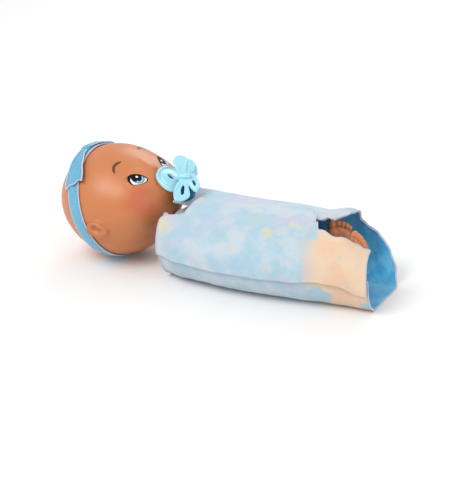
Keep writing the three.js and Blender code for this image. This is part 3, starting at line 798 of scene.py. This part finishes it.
def make_shield(material, dark):
    profile = catmull(RIM_PROFILE, 6, closed=False)
    reach_at = shield_reach()
    share, height = np.clip(profile[:, 0], 0.002, None), profile[:, 1]

    def vent_reach(x, y):
        return np.hypot((x - VENT[0]) / VENT_HALF[0], (y - VENT[1]) / VENT_HALF[1])

    def shape(u, v):
        k = np.rint(u * (len(profile) - 1)).astype(int)
        a = v * TAU
        x, y = reach_at(a) * share[k] * np.cos(a), reach_at(a) * share[k] * np.sin(a)
        top = height[k] > -1.2
        reach = vent_reach(x, y)
        pit = 2.4 * smoothstep(reach, 1.12, 0.86) * top
        lip = 0.35 * bell((reach - 1.3) / 0.16) * top
        return x, y, -(0.2 * x * x + y * y) / (2 * SHIELD_CURVE) + height[k] - pit + lip

    mesh = outwards(grid_mesh(shape, len(profile), 200, wrap_columns=True))
    local = points_of(mesh)
    # faces on the floor of the vent's pit take the second, dark material: painted shade in the pit
    for polygon in mesh.polygons:
        c = local[list(polygon.vertices)].mean(0)
        polygon.material_index = int(vent_reach(c[0], c[1]) < 0.96 and -2.9 < c[2] < -1.2)
    stem = tube(catmull(STEM, 6, closed=False), 2.7, 18)
    socket = tube([(0, 0, -5.9), (0, 0, -3.0), (0, 0, -2.5)], [2.8, 2.8, 3.0], 24)
    mesh = moved(joined(mesh, stem, socket), MOUTH)
    uses = {"slot": "pacifier_plastic", "stands_for": ["pacifier_shield"]}
    put("pacifier_shield_moulded", mesh, "pacifier", material, dark, **uses)


PLATE_VOXEL, FOOT_VOXEL, HAND_VOXEL = 0.42, 0.62, 0.5  # sizes of the even faces


def plate(outline, holes, thick, bevel):
    """A flat plate with rounded edges from an outline and its holes, in fine even faces."""
    curve = bpy.data.curves.new("plate", "CURVE")
    curve.dimensions = "2D"
    curve.fill_mode = "BOTH"
    curve.extrude = thick / 2 - bevel
    curve.bevel_depth = bevel
    curve.bevel_resolution = 3
    for loop in (outline, *holes):
        spline = curve.splines.new("POLY")
        line = catmull(loop, 7)
        spline.points.add(len(line) - 1)
        for point, (x, y) in zip(spline.points, line):
            point.co = (x, y, 0, 1)
        spline.use_cyclic_u = True
    mesh = remeshed(evaluated(curve), PLATE_VOXEL, 4)
    set_points(mesh, points_of(mesh) * MM)
    return mesh


WINGS = [
    # the outline from the knot round the wing, and the teardrop hole in it if it has one
    (
        [
            (-1, -2.5), (-8, -0.6), (-15.2, 3.4), (-18.8, 7.6), (-19.4, 11.6), (-17.4, 15), (-14, 16.6),
            (-10.4, 16), (-6.2, 9.2), (-1.5, 3),
        ],
        [],
    ),
    (
        [
            (-1.5, 2), (-5.6, 8.4), (-9.6, 13.6), (-8.8, 16.8), (-4.8, 17.6), (1, 16), (4.6, 12.6), (4.2, 7.5),
            (2, 1.5),
        ],
        [],
    ),
    (
        [(1, 2.5), (4, 7.2), (8.4, 6), (14, 2.8), (16.8, -1.6), (17.6, -5.4), (14.6, -6), (8, -4), (2, -1.5)],
        [[(6.2, 1.6), (8.6, 3.4), (12, 2), (14.8, -1.4), (13.6, -2.6), (9.6, -1.4)]],
    ),
    (
        [
            (-1.5, -1.5), (-0.8, -6), (0.2, -11.6), (2.4, -18), (6, -23.4), (9.8, -26), (13.4, -24), (16, -18.6),
            (15.6, -13.6), (10.6, -8.4), (5.5, -4.2), (1.5, -1.5),
        ],
        [[(3.8, -7.4), (4.6, -12.6), (8, -17.4), (11.6, -19.4), (11.4, -14.6), (8.4, -10), (5.6, -6.8)]],
    ),
]
BODY_ANGLE = math.radians(43)  # the butterfly's body in its plane
WING_PLATE, WEB_PLATE = (2.4, 1.0), (1.2, 0.4)  # thickness and bevel
# a dark teal web behind the two pierced wings: a sheet of painted shadow where the wings' underside lies in shade
PAINTED_SHADOW_WEB = [
    (2.6, 0.6), (8.4, 3.2), (12.6, 1.4), (15.2, -2.4), (17, -5.6), (19, -10.6), (16.4, -17.6), (11.8, -20.2),
    (7.8, -18.4), (4.2, -13), (2.8, -7),
]


def make_handle(material, dark):
    web = plate(PAINTED_SHADOW_WEB, [], *WEB_PLATE)
    p = points_of(web)
    p[:, 2] += -2.4 + 0.45 * np.cos(np.arctan2(p[:, 1], p[:, 0]) * 30) * smoothstep(p[:, 2], -0.2, 0.4)
    set_points(web, p)
    # the whole web takes the dark material, as painted shadow
    web.polygons.foreach_set("material_index", [1] * len(web.polygons))
    parts = [web]
    for k, (outline, holes) in enumerate(WINGS):
        mesh = plate(outline, holes, *WING_PLATE)
        p = points_of(mesh)
        out = np.hypot(p[:, 0], p[:, 1])
        angle = np.arctan2(p[:, 1], p[:, 0])
        centre = np.array(outline).mean(0)
        reach = np.linalg.norm(p[:, :2] - centre, axis=1)
        top = smoothstep(p[:, 2], 0, 1)
        hub = smoothstep(out, 4, 9)
        ribs, dish = (0.4, 1.0) if k < 2 else (1.0, 0.3)
        p[:, 2] += top * hub * (0.4 * np.cos(angle * 26) * ribs * smoothstep(out, 22, 12))
        p[:, 2] -= top * hub * 0.55 * smoothstep(reach, 6.5, 3.0) * dish
        if k == 0:
            p[:, 2] += 0.9 * smoothstep(out, 5, 12) - 1.6 * smoothstep(out, 14, 22)
        elif k == 1:  # this wing folds down over its tip
            along = p[:, 0] + 0.30 * p[:, 1]
            step_down = 0.7 * smoothstep(along, -4.6, -3.2)
            p[:, 2] += 0.8 * smoothstep(out, 5, 11) - step_down - 4.4 * smoothstep(along, 1.5, 9.0)
            p[:, 2] += 1.5 * bell((along - 4.4) / 1.1) * smoothstep(out, 8, 12)
        else:
            p[:, 2] += 1.3 * smoothstep(out, 5, 16) + 1.4 * smoothstep(out, 17, 26)
        set_points(mesh, p)
        parts.append(mesh)
    a = np.linspace(-1, 1, 15)
    along, rise = 6.4 * a, 1.1 + 0.7 * (1 - a * a)
    spine = np.stack([along * math.cos(BODY_ANGLE), along * math.sin(BODY_ANGLE), rise], 1)
    girth = 2.7 * np.sqrt(np.clip(1 - (a * 0.985) ** 2, 0.02, 1)) * (1 + 0.1 * np.cos(a * 12))
    parts.append(tube(spine, girth, 20))
    parts.append(tube([(0, 0, -2.6), (0, 0, -1.4), (0, 0, 1.0)], [3.0, 3.2, 3.0], 24))
    mesh = moved(joined(*parts), HANDLE)
    uses = {"slot": "pacifier_plastic", "stands_for": ["pacifier_handle"]}
    put("pacifier_handle_moulded", mesh, "pacifier", material, dark, **uses)


TEAT_PROFILE = [
    (0, -4.4), (3, -4.4), (6.2, -4.5), (6.4, -4.8), (5, -5.3), (4.6, -6), (5.4, -7.4), (6.1, -9.4), (5.6, -11.4),
    (3.6, -12.7), (0, -13),
]


def make_teat(material):
    """A turned teat about the mouth's Z axis from (radius, height) points."""
    line = catmull(TEAT_PROFILE, 4, closed=False)
    line[[0, -1], 0] = 0.001
    line[:, 0] = np.clip(line[:, 0], 0.001, None)

    def shape(u, v):
        k = np.rint(u * (len(line) - 1)).astype(int)
        a = v * TAU
        return line[k, 0] * np.cos(a), line[k, 0] * np.sin(a), line[k, 1]

    mesh = moved(outwards(grid_mesh(shape, len(line), 64, wrap_columns=True)), MOUTH)
    put("pacifier_teat", mesh, "pacifier", material, slot="nipple_rubber", stands_for=["pacifier_nipple"])


# ---- headband and bow
BAND_NORMAL = np.array((0.77, 0, 0.634)) / math.hypot(0.77, 0.634)
BAND_OFFSET, BAND_HALF = -13.0, 6.6
BAND_PIPING, BOW_PIPING, HEM_PIPING = 0.62, 0.8, 0.6  # radii
BAND_ALONG = np.array((-BAND_NORMAL[2], 0, BAND_NORMAL[0]))  # in the band's plane, towards the forehead


def on_band(angle, across, lift):
    """Points of the headband; angle 0 is over the forehead, across runs over its width towards the face."""
    angle, across, lift = np.broadcast_arrays(*(np.asarray(k, float) for k in (angle, across, lift)))
    way = np.cos(angle)[:, None] * BAND_ALONG + np.sin(angle)[:, None] * np.array((0, 1, 0))
    base = (BAND_OFFSET + across)[:, None] * BAND_NORMAL
    low, high = np.full(len(angle), 20.0), np.full(len(angle), 80.0)  # halved until it meets the head
    for _ in range(30):
        middle = (low + high) / 2
        p = base + way * middle[:, None]
        size = np.linalg.norm(p, axis=1)
        inside = size < skull(p / size[:, None]) + lift
        low, high = np.where(inside, middle, low), np.where(inside, high, middle)
    return base + way * middle[:, None]


def make_band(fabric, piping):
    def shape(u, v):
        a, edge = v * TAU, u * TAU
        across = BAND_HALF * signed_power(np.cos(edge), 0.6)
        from_bow = np.abs((a + math.pi) % TAU - math.pi)
        gather = 0.22 * np.sin(a * 90 + 2 * np.sin(a * 7)) * bell(from_bow / 1.3)
        return on_band(a, across, 1.25 + np.sin(edge) * (0.62 + gather)).T

    mesh = outwards(grid_mesh(shape, 28, 420, wrap_rows=True, wrap_columns=True))
    band = put("headband_fabric", moved(mesh, HEAD), "head", fabric, slot="bow_fabric", stands_for=["headband"])
    a = np.linspace(0, TAU, 300, endpoint=False)
    for word, side in (("crown", -1), ("face", 1)):
        path = on_band(a, side * (BAND_HALF + 0.3), 1.15)
        put(f"headband_piping_{word}", moved(tube(path, BAND_PIPING, 8, closed=True), HEAD), "head", piping)


BOW_FROM = np.array((-44.0, 0, 33))
BOW_TO = {1: np.array((-45.0, 34, 16)), -1: np.array((-31.0, -42, 29))}
BOW_TURN = np.array(Matrix.Rotation(math.radians(10), 3, "X"))
BOW_LIFT = 3.4
BOW_HIDDEN = 0.04  # the share of a loop inside the knot
BOW_WIDTH = follow((0.0, 3.6), (0.18, 5.2), (0.5, 9.0), (0.85, 11.6), (1.0, 11.2))
BOW_PUFF = follow((0.0, 1.4), (0.25, 2.1), (0.7, 1.9), (1.0, 0.7))


def bow_point(t, s, layer, side):
    """A point of a bow loop: t from the knot to its end, s across from -1 to 1, layer -1 under and 1 over."""
    d = unit((BOW_FROM + np.outer(t, BOW_TO[side] - BOW_FROM)) @ BOW_TURN.T)
    run = unit((BOW_TO[side] - BOW_FROM) @ BOW_TURN.T)
    across = unit(np.cross(d, run))
    base = d * skull(d)[:, None]
    fade = (1 - 0.55 * t) * smoothstep(t, 0, 0.12) * (1 - s * s) ** 0.3
    pleat = 1.3 * np.cos(s * 9.5 + 0.6 * np.sin(3 * t)) * fade
    puff = BOW_PUFF(t) * np.sqrt(np.clip(1 - np.abs(s) ** 3, 0, 1))
    scallop = 1.4 * np.cos(s * 6.0) * smoothstep(t, 0.75, 1)
    lift = BOW_LIFT + layer * puff + pleat * (0.5 + 0.5 * layer) * 0.8
    wide = BOW_WIDTH(t) * s
    out = np.clip(lift - 0.012 * wide**2, 2.5, None)
    return base + d * out[:, None] + across * wide[:, None] + run * (scallop * t)[:, None]


def make_bow(fabric, piping):
    for side, word in SIDES:

        def shape(u, v, side=side):
            ring = v * TAU
            s, layer = signed_power(np.cos(ring), 0.7), np.sin(ring)
            return bow_point(lerp(BOW_HIDDEN, 1.0, u), s, signed_power(layer, 0.5), side).T

        mesh = grid_mesh(shape, 70, 120, wrap_columns=True)

        def cap(bm):
            bmesh.ops.holes_fill(bm, edges=[e for e in bm.edges if e.is_boundary], sides=0)

        mesh = moved(outwards(edit(mesh, cap)), HEAD)
        uses = {"slot": "bow_fabric", "stands_for": [f"bow_loop_{word}"]}
        loop = put(f"bow_loop_{word}_fabric", mesh, "head", fabric, **uses)
        t, one, flat = np.linspace(0.1, 1, 60), np.ones(60), np.zeros(60)
        low, high = bow_point(t, -one, flat, side), bow_point(t, one, flat, side)[::-1]
        end = bow_point(one, np.linspace(-1, 1, 60), flat, side)
        line = np.concatenate([low, end[1:-1], high])
        put(f"bow_piping_{word}", moved(tube(line, BOW_PIPING, 8), HEAD), "head", piping)
    out = BOW_TURN @ unit(BOW_FROM)
    knot_centre = out * (skull(out[None])[0] + BOW_LIFT)

    def knot(u, v):
        ring, turn = v * TAU, (u - 0.5) * math.pi
        crease = 1 + 0.07 * np.cos(ring * 7 + 1.5 * np.sin(turn * 2))
        x = 3.3 * np.cos(turn) * np.cos(ring) * crease
        y = 4.3 * np.cos(turn) * np.sin(ring) * crease
        return x, y, 5.6 * np.sin(turn)

    mesh = grid_mesh(knot, 40, 90, wrap_columns=True)
    sideways = BOW_TURN @ (0, 1, 0)
    frame_matrix = np.eye(4)
    frame_matrix[:3, 0], frame_matrix[:3, 1], frame_matrix[:3, 2] = out, sideways, np.cross(out, sideways)
    frame_matrix[:3, 3] = knot_centre
    mesh = outwards(moved(mesh, HEAD @ frame_matrix))
    put("bow_knot_fabric", mesh, "head", fabric, slot="bow_fabric", stands_for=["bow_knot"])


# ---- swaddle
NECK_X, FLAP_NECK_X, END_X = -41, -20, 165
MIDDLE_Y, SECTION_POWER, ROUND = 1.8, 2 / 2.4, 4
half_width = follow((-41, 49), (-20, 56), (20, 59.5), (60, 59.5), (95, 55), (125, 50), (150, 45), (165, 41))
full_height = follow((-41, 70), (-12, 67), (20, 66), (60, 67.5), (92, 68), (120, 75), (135, 73), (165, 52))
near_edge = follow((-41, 130), (0, 165))
far_edge = follow((-41, 468), (0, 460), (92, 455), (165, 456))
flap_edge = follow(
    (50, 77), (79, 81), (94, 91), (106, 108), (114, 123), (134, 129), (147, 126), (158, 119), (165, 113)
)
foot_edge = follow(
    (100, 158), (186, 165), (300, 163), (335, 157), (356, 149), (366, 137), (374, 125), (385, 120), (415, 124),
    (445, 125), (460, 116),
)
SEAM = 186.0  # degrees, where the near side leaves the floor
WALL, FLAP_WALL, FLAP_LIFT = 1.6, 1.4, 3.2
SHEET_MIDDLE = (MIDDLE_Y, 34)
LOWEST_HEM = (-1e9, -1e9, 1.0)  # a hem stays this far over the floor
BASE_GRID, FLAP_GRID = (200, 260), (190, 120)  # rows to the feet and columns round the body


def wall(x, degrees, lift, floor=0.15):
    """A point of the swaddle's wall, as in the CAD."""
    a = np.radians(degrees)
    w, h = half_width(x), full_height(x)
    c, s = signed_power(np.cos(a), SECTION_POWER), signed_power(np.sin(a), SECTION_POWER)
    z = h / 2 + (np.where(s < 0, h / 2 + ROUND, h / 2) + lift) * s
    return np.stack([x, MIDDLE_Y + (w + lift) * c, np.maximum(z, floor)], -1)


def flap_neck(degrees):
    return lerp(NECK_X, FLAP_NECK_X, smoothstep(np.cos(np.radians(degrees)), -0.8, -0.5))


def cloth_lift(x, degrees, seed):
    """Soft folds of the blanket, as a height over its wall."""
    points = np.stack([x, degrees * 0.9, np.full_like(x, seed)], -1)
    broad = wrinkle(points * (0.6, 1.0, 1.0), 26, seed)
    diagonal = wrinkle(np.stack([x + 0.55 * degrees, (degrees - 0.5 * x) * 0.22, x * 0], -1), 7.5, seed + 3)
    fine = wrinkle(points, 9, seed + 9)
    return 0.55 * broad + 0.42 * diagonal + 0.12 * fine


def cloth_grid(size, neck, first, last):
    """The (x, degrees) of a sheet's grid from its neck to the foot edge, between its first and last edge."""
    u, v = (np.linspace(0, 1, count) for count in size)
    start = lerp(NECK_X, END_X, u)
    degrees = lerp(first(start)[:, None], last(start)[:, None], v[None])
    x = lerp(neck(degrees), foot_edge(degrees), u[:, None])
    return x.ravel(), degrees.ravel()


def base_points():
    x, degrees = cloth_grid(BASE_GRID, lambda _: NECK_X, near_edge, far_edge)
    lift = cloth_lift(x, degrees, 1.0)
    under_flap = smoothstep(degrees, 205, 190) + smoothstep(degrees, 425, 440) * smoothstep(x, 92, 84)
    lift = np.where(under_flap > 0.5, np.minimum(lift, 0) * 0.4, lift) - 0.1
    pucker = 3.0 * bell((x - 91) / 5.5) * smoothstep(far_edge(x) - degrees, 34, 6)
    by_feet = smoothstep(degrees, 395, 425) * smoothstep(x, 92, 100)
    folds = 0.8 * np.sin((x + 0.25 * degrees) * 0.62) * by_feet
    hem_roll = -1.2 * bell((x - foot_edge(degrees)) / 3.5) * smoothstep(degrees, 360, 380)
    return wall(x, degrees, lift + pucker + folds + hem_roll).reshape(*BASE_GRID, 3)


def flap_points():
    x, degrees = cloth_grid(FLAP_GRID, flap_neck, lambda at: np.full_like(at, SEAM), flap_edge)
    folds = cloth_lift(x, degrees, 2.0) * 1.25
    v_fold = 0.9 * np.sin((x - 78) * 0.32 + (degrees - 90) * 0.16) * bell((x - 84) / 20)
    v_fold *= smoothstep(degrees, 168, 120)
    chest = bell((x - 14) / 30) * smoothstep(degrees, 150, 110)
    lift = FLAP_LIFT + np.maximum(folds + v_fold * 0.6 + chest, -0.1)
    return wall(x, degrees, lift, 0.9).reshape(*FLAP_GRID, 3)


def thick_cloth(points, thickness, *materials):
    """A cloth of that thickness under a grid of points: outside, lining and rim in the three materials."""
    mesh = to_mesh("sheet", points.reshape(-1, 3), grid_faces(*points.shape[:2]))
    facing(mesh, (points_of(mesh) - (0, *SHEET_MIDDLE)) * (0, 1, 1))
    for material in materials:
        mesh.materials.append(material)
    settings = {"thickness": thickness * MM, "offset": -1, "use_even_offset": False}
    settings |= {"material_offset": 1, "material_offset_rim": 2}
    return evaluated(mesh, ("SOLIDIFY", settings))


def make_hems(name, lines, body, hem):
    return [put(f"{name}_{k + 1}", tube(line, HEM_PIPING, 8), body, hem) for k, line in enumerate(lines)]


def make_swaddle(outer, lining, hem):
    points = base_points()
    mesh = thick_cloth(points, WALL, outer, lining, hem)
    base = put("swaddle_base_cloth", mesh, "body", slot="swaddle_fabric", stands_for=["swaddle_base"])
    lines = [np.maximum(k[::2], LOWEST_HEM) for k in (points[0], points[-1], points[:, 0], points[:, -1])]
    hems = make_hems("swaddle_base_hem", lines, "body", hem)

    points = flap_points()
    mesh = thick_cloth(points, FLAP_WALL, outer, lining, hem)
    flap = put("swaddle_flap_cloth", mesh, "flap", slot="swaddle_fabric", stands_for=["swaddle_flap"])
    lines = [k[::2] + (0, 0, -0.3) for k in (points[0], points[-1], points[:, -1])]
    hems = make_hems("swaddle_flap_hem", lines, "flap", hem)


def swaddle_print():
    """A watercolour print: pale blues and lilac, soft yellow and green spots, and cream towards the feet."""
    n = Nodes("swaddle_print")
    aqua, pale, lilac = srgb(178, 212, 230), srgb(206, 220, 230), srgb(206, 206, 230)
    yellow, green = srgb(228, 220, 178), srgb(192, 214, 200)
    peach, cream = srgb(246, 204, 172), srgb(244, 216, 186)
    # two shifted places, so that the patches of each colour fall apart from one another
    a, b = (n.vector("ADD", shift).outputs[0] for shift in ((0.3, 0.1, 0.7), (1.3, 2.1, 0.2)))
    colour = n.clouds(aqua, pale, 38, 3, 0.4, 0.62, 0.6)
    colour = n.wash(colour, lilac, n.step(n.noise(30, 3, 0.6, a), 0.5, 0.66), 0.8)
    colour = n.wash(colour, yellow, n.step(n.noise(48, 2, 0.4, b), 0.62, 0.72), 0.75)
    colour = n.wash(colour, green, n.step(n.noise(44, 2, 0.4, a), 0.64, 0.76), 0.55)
    warm = n.clouds(cream, peach, 34, 2, 0.42, 0.62, 0.5)
    warm = n.wash(warm, srgb(160, 210, 232), n.step(n.noise(40, 2, 0.5, b), 0.56, 0.64), 0.85)
    warm = n.wash(warm, srgb(178, 218, 196), n.step(n.noise(52, 2, 0.5, a), 0.6, 0.7), 0.6)
    to_feet, near_side = n.step(n.axis("X"), 0.098, 0.125), n.step(n.axis("Y"), 0.012, -0.012)
    colour = n.wash(colour, warm, to_feet, near_side)
    threads = weave(n, 0.0013)
    # a darker blue-grey where the knit lies low: painted shade in the hollows between the threads
    colour = n.wash(colour, srgb(150, 180, 200), n.step(threads, 0.6, -0.6), 0.14)
    plush = n.math("ADD", n.math("MULTIPLY", n.noise(420, 3), 0.9), n.math("MULTIPLY", threads, 0.25))
    return n.finish(colour, 0.9, n.bump(plush, 0.4, 0.0006), Sheen_Weight=0.35, Sheen_Roughness=0.5)


def lining_material():
    n = Nodes("swaddle_lining")
    colour = n.clouds(srgb(70, 186, 250), srgb(116, 214, 255), 70, 3, 0.35, 0.65)
    threads = weave(n, 0.0011)
    # a deeper blue where the knit lies low: painted shade in the hollows between the threads
    colour = n.wash(colour, srgb(44, 130, 180), n.step(threads, 0.6, -0.6), 0.25)
    normal = n.bump(n.math("ADD", n.noise(500, 3), n.math("MULTIPLY", threads, 0.3)), 0.4, 0.0005)
    return n.finish(colour, 0.9, normal, Sheen_Weight=0.3, Sheen_Roughness=0.5)


# ---- hands and feet
def ellipsoid(centre, radii, tilt=0.0):
    """A ball of three radii, tilted about Y by that many radians."""
    directions, faces = cube_sphere(14)
    turn = np.array(Matrix.Rotation(tilt, 3, "Y"))
    return to_mesh("blob", (directions * radii) @ turn.T + centre, faces)


def fused(parts, voxel):
    """Joins overlapping closed meshes into one soft surface."""
    return remeshed(joined(*parts), voxel * MM, 3)


def centre_of(node):
    lo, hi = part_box(node)
    return np.array((lo + hi) / 2) / MM


# shares of the length, and the radius at each
SHIN_GIRTH = [0, 0.05, 0.14, 0.4, 0.62, 0.8, 1.0], [5.5, 8.6, 9.6, 10.0, 8.8, 7.8, 7.6]
FOREARM_GIRTH = [0, 0.06, 0.2, 0.5, 0.8, 1], [4.2, 6.4, 7.4, 7.0, 5.4, 5.6]
# size, y and z of each toe
TOES = [(4.4, 6.6, 18.6), (3.3, 1.0, 19.2), (3.1, -3.1, 18.1), (2.9, -6.8, 16.2), (2.7, -9.7, 13.6)]
SOLE_IN = -60  # degrees that the left sole is turned towards the right one


def make_foot(word, side):
    bent = side > 0
    ankle = np.array((104.0, 21, 28)) if bent else np.array((129.0, -17, 28))
    knee = np.array((72.0, 33, 38)) if bent else np.array((82.0, -19, 26))
    way = unit(ankle - knee)
    top = knee + way * (6 if bent else 0.8)
    calf = lerp(knee, ankle, 0.4)
    knots = [top, top + way * 2.5, calf, lerp(calf, ankle, 0.6), ankle, ankle + way * 6]
    path = catmull(knots, 6, closed=False)
    shin = tube(path, np.interp(np.linspace(0, 1, len(path)), *SHIN_GIRTH), 28)
    inner = -side  # the big toe is on the side of the body's middle
    parts = [
        ellipsoid((-2.6, 0.4 * side, -14.5), (8.0, 8.0, 8.6)),
        ellipsoid((-0.5, 0.2 * side, -5), (7.0, 8.8, 14), 0.12),
        ellipsoid((1.0, 0, 6), (6.6, 10.6, 11), 0.12),
        ellipsoid((3.2, 5.4 * inner, 9.8), (5.2, 5.6, 6)),
        ellipsoid((3.0, -4.8 * inner, 8.4), (4.8, 5.4, 5.6)),
    ]
    for size, across, up in TOES:
        across *= inner
        parts.append(ellipsoid((4.0, across, up), (size * 0.95, size * 0.84, size * 1.15), 0.35))
        parts.append(ellipsoid((1.6, across * 0.94, up - 3.4), (size * 0.8, size * 0.78, size * 1.2), 0.3))
    where = (112, 15, 43) if bent else (141.5, -14, 42)
    sole_in = Matrix.Rotation(math.radians(SOLE_IN * side), 4, "Z")
    foot = moved(joined(*parts), translation(*where) @ np.array(sole_in))
    mesh = fused([shin, foot], FOOT_VOXEL)
    put(f"foot_{word}_moulded", mesh, f"leg_{word}", SKIN, slot="skin_vinyl", stands_for=[f"foot_{word}"])


FOREARM = [(0.8, 42.5, 33), (3, 42.8, 33.1), (8, 43.4, 33.3), (17, 44.3, 33.7), (26, 45, 34), (30, 45.4, 34)]


def make_hand(word, side):
    mirror = np.array((1, side, 1), float)
    path = catmull(FOREARM * mirror, 6, closed=False)
    blobs = [
        ((34, 46, 34), (6.6, 4.9, 6.2), 0.0),  # palm
        ((31.5, 44.6, 39), (4.2, 2.4, 2.3), -0.6),  # thumb
        ((34.6, 43.4, 41.2), (2.6, 2.0, 2.0), -0.2),
    ]
    for k, reach in enumerate((1.0, 1.6, 1.3, 0.2)):  # fingers, curled
        up = 38.4 - 3.1 * k
        blobs.append(((38.6 + reach, 46.6, up), (3.4, 2.1, 1.75), 0.0))
        blobs.append(((40.6 + reach, 44.4, up - 0.2), (1.9, 2.5, 1.7), 0.0))
        blobs.append(((38.6 + reach, 42.6, up - 0.3), (2.5, 1.6, 1.6), 0.0))
    forearm = tube(path, np.interp(np.linspace(0, 1, len(path)), *FOREARM_GIRTH), 26)
    blobs = [ellipsoid(centre * mirror, radii, tilt) for centre, radii, tilt in blobs]
    mesh = fused([forearm, *blobs], HAND_VOXEL)
    put(f"hand_{word}_moulded", mesh, f"arm_{word}", SKIN, slot="skin_vinyl", stands_for=[f"hand_{word}"])


# ---- stuffed cloth body
def stuffed(node, voxel, swell, seam_at, gathers=()):
    """A stuffed cloth part grown from its CAD solid: even faces, seams drawn in, and creases."""
    source = frame["nodes"][node].data.copy()
    source.materials.clear()
    mesh = remeshed(source, voxel * MM, 6, ("SUBSURF", {"levels": 1}))
    points, normals = points_of(mesh), normals_of(mesh)
    crease = wrinkle(points * (1.0, 0.5, 0.5), 5.5, 4.0)
    soft = wrinkle(points, 14, 8.0)
    seam = bell((points[:, 2] - seam_at) / 0.9) * smoothstep(np.abs(normals[:, 1]), 0.55, 0.85)
    lift = swell * 0.5 * soft + 0.28 * crease - 0.75 * seam
    for place, axis, reach in gathers:
        near = bell((points - place) @ axis / reach)
        across = np.arctan2(points[:, 2] - place[2], points[:, 1] - place[1])
        lift += near * 0.5 * np.sin(across * 22)
    set_points(mesh, points + normals * lift[:, None])
    return mesh


def make_body(fabric):
    mesh = stuffed("torso", 1.7, 0.9, 31.5)
    torso = put("torso_cloth", mesh, "body", fabric, slot="body_fabric", stands_for=["torso"])
    for side, word in SIDES:
        tie = centre_of(f"arm_tie_{word}")
        mesh = stuffed(f"upper_arm_{word}", 1.0, 0.6, 33, gathers=[(tie, np.array((1.0, 0, 0)), 3.0)])
        uses = {"slot": "body_fabric", "stands_for": [f"upper_arm_{word}"]}
        put(f"upper_arm_{word}_cloth", mesh, f"arm_{word}", fabric, **uses)
        tie = centre_of(f"leg_tie_{word}")
        run = unit(tie - centre_of(f"thigh_{word}"))
        mesh = stuffed(f"thigh_{word}", 1.2, 0.8, 30, gathers=[(tie, run, 3.0)])
        uses = {"slot": "body_fabric", "stands_for": [f"thigh_{word}"]}
        put(f"thigh_{word}_cloth", mesh, f"leg_{word}", fabric, **uses)


# ---- finishes of the CAD pieces
def brushed_metal(name, colour):
    n = Nodes(name)
    streak = n.noise(1400, 2)
    tint = n.mix(n.step(streak, 0.3, 0.7), shade(colour, 0.85), colour)
    rough = n.math("ADD", n.math("MULTIPLY", n.noise(300), 0.2), 0.2)
    return n.finish(tint, rough, n.bump(streak, 0.1, 0.0001), Metallic=1.0)


def battery_wrap():
    n = Nodes("battery_wrap")
    band = n.step(n.axis("X"), 0.0145, 0.0148)
    colour = n.mix(band, srgb(48, 54, 62), srgb(186, 148, 78))
    return n.finish(colour, 0.3, n.bump(n.noise(700), 0.05, 0.0001), Metallic=0.4)


def board_material():
    n = Nodes("board_green")
    shifted = n.math("ADD", n.axis("X"), n.math("MULTIPLY", n.noise(90, 1), 0.02))
    tracks = n.math("SINE", n.math("MULTIPLY", shifted, 4200))
    colour = n.mix(n.step(tracks, 0.5, 0.7), srgb(18, 92, 48), srgb(44, 132, 78))
    return n.finish(colour, 0.45, n.bump(tracks, 0.1, 0.0001))


def finish_cad_nodes(materials):
    for part in frame["record"]["subparts"]:
        node = frame["nodes"][part["node"]]
        node.data.materials.clear()
        node.data.materials.append(materials[part["material_slot"]])


SKIN = skin_material()
AQUA = plastic("pacifier_aqua", srgb(176, 238, 255), 0.32, grain=0.06, coat=0.25)
# painted shade: the dark teal of the vent pit's floor and of the web behind the handle's wings
PACIFIER_PAINTED_SHADE = plastic("pacifier_painted_shade", srgb(22, 92, 122), 0.5, grain=0.05)
BAND_CLOTH = cloth("bow_jersey", srgb(108, 194, 232), 0.0009, 0.4)
PIPING = cloth("piping", srgb(222, 222, 244), 0.0007, 0.4)
BODY_CLOTH = cloth("body_knit", srgb(232, 226, 216), 0.0013, 0.5)
PRINT = swaddle_print()
LINING = lining_material()
BY_SLOT = {
    "skin_vinyl": SKIN,
    "pacifier_plastic": AQUA,
    "nipple_rubber": plastic("teat_rubber", srgb(206, 232, 236), 0.4, grain=0.04),
    "bow_fabric": BAND_CLOTH,
    "body_fabric": BODY_CLOTH,
    "swaddle_fabric": PRINT,
    "case_plastic": plastic("case_white", srgb(232, 232, 228), 0.5, grain=0.2),
    "dark_plastic": plastic("plastic_black", srgb(38, 38, 40), 0.55, grain=0.3),
    "button_plastic": plastic("button_blue", srgb(96, 190, 230), 0.35, grain=0.1, coat=0.2),
    "tie_plastic": plastic("nylon_white", srgb(238, 238, 232), 0.5, grain=0.3, fine=1600),
    "lead_rubber": plastic("lead_black", srgb(34, 34, 36), 0.6, grain=0.2),
    "circuit_board": board_material(),
    "battery_case": battery_wrap(),
    "metal": brushed_metal("zinc_steel", (0.55, 0.56, 0.58)),
}

make_camera()
make_studio()
finish_cad_nodes(BY_SLOT)
make_head()
make_eyes()
make_shield(AQUA, PACIFIER_PAINTED_SHADE)
make_handle(AQUA, PACIFIER_PAINTED_SHADE)
make_teat(BY_SLOT["nipple_rubber"])
make_band(BAND_CLOTH, PIPING)
make_bow(BAND_CLOTH, PIPING)
make_body(BODY_CLOTH)
make_swaddle(PRINT, LINING, PIPING)
for side, word in SIDES:
    make_foot(word, side)
    make_hand(word, side)
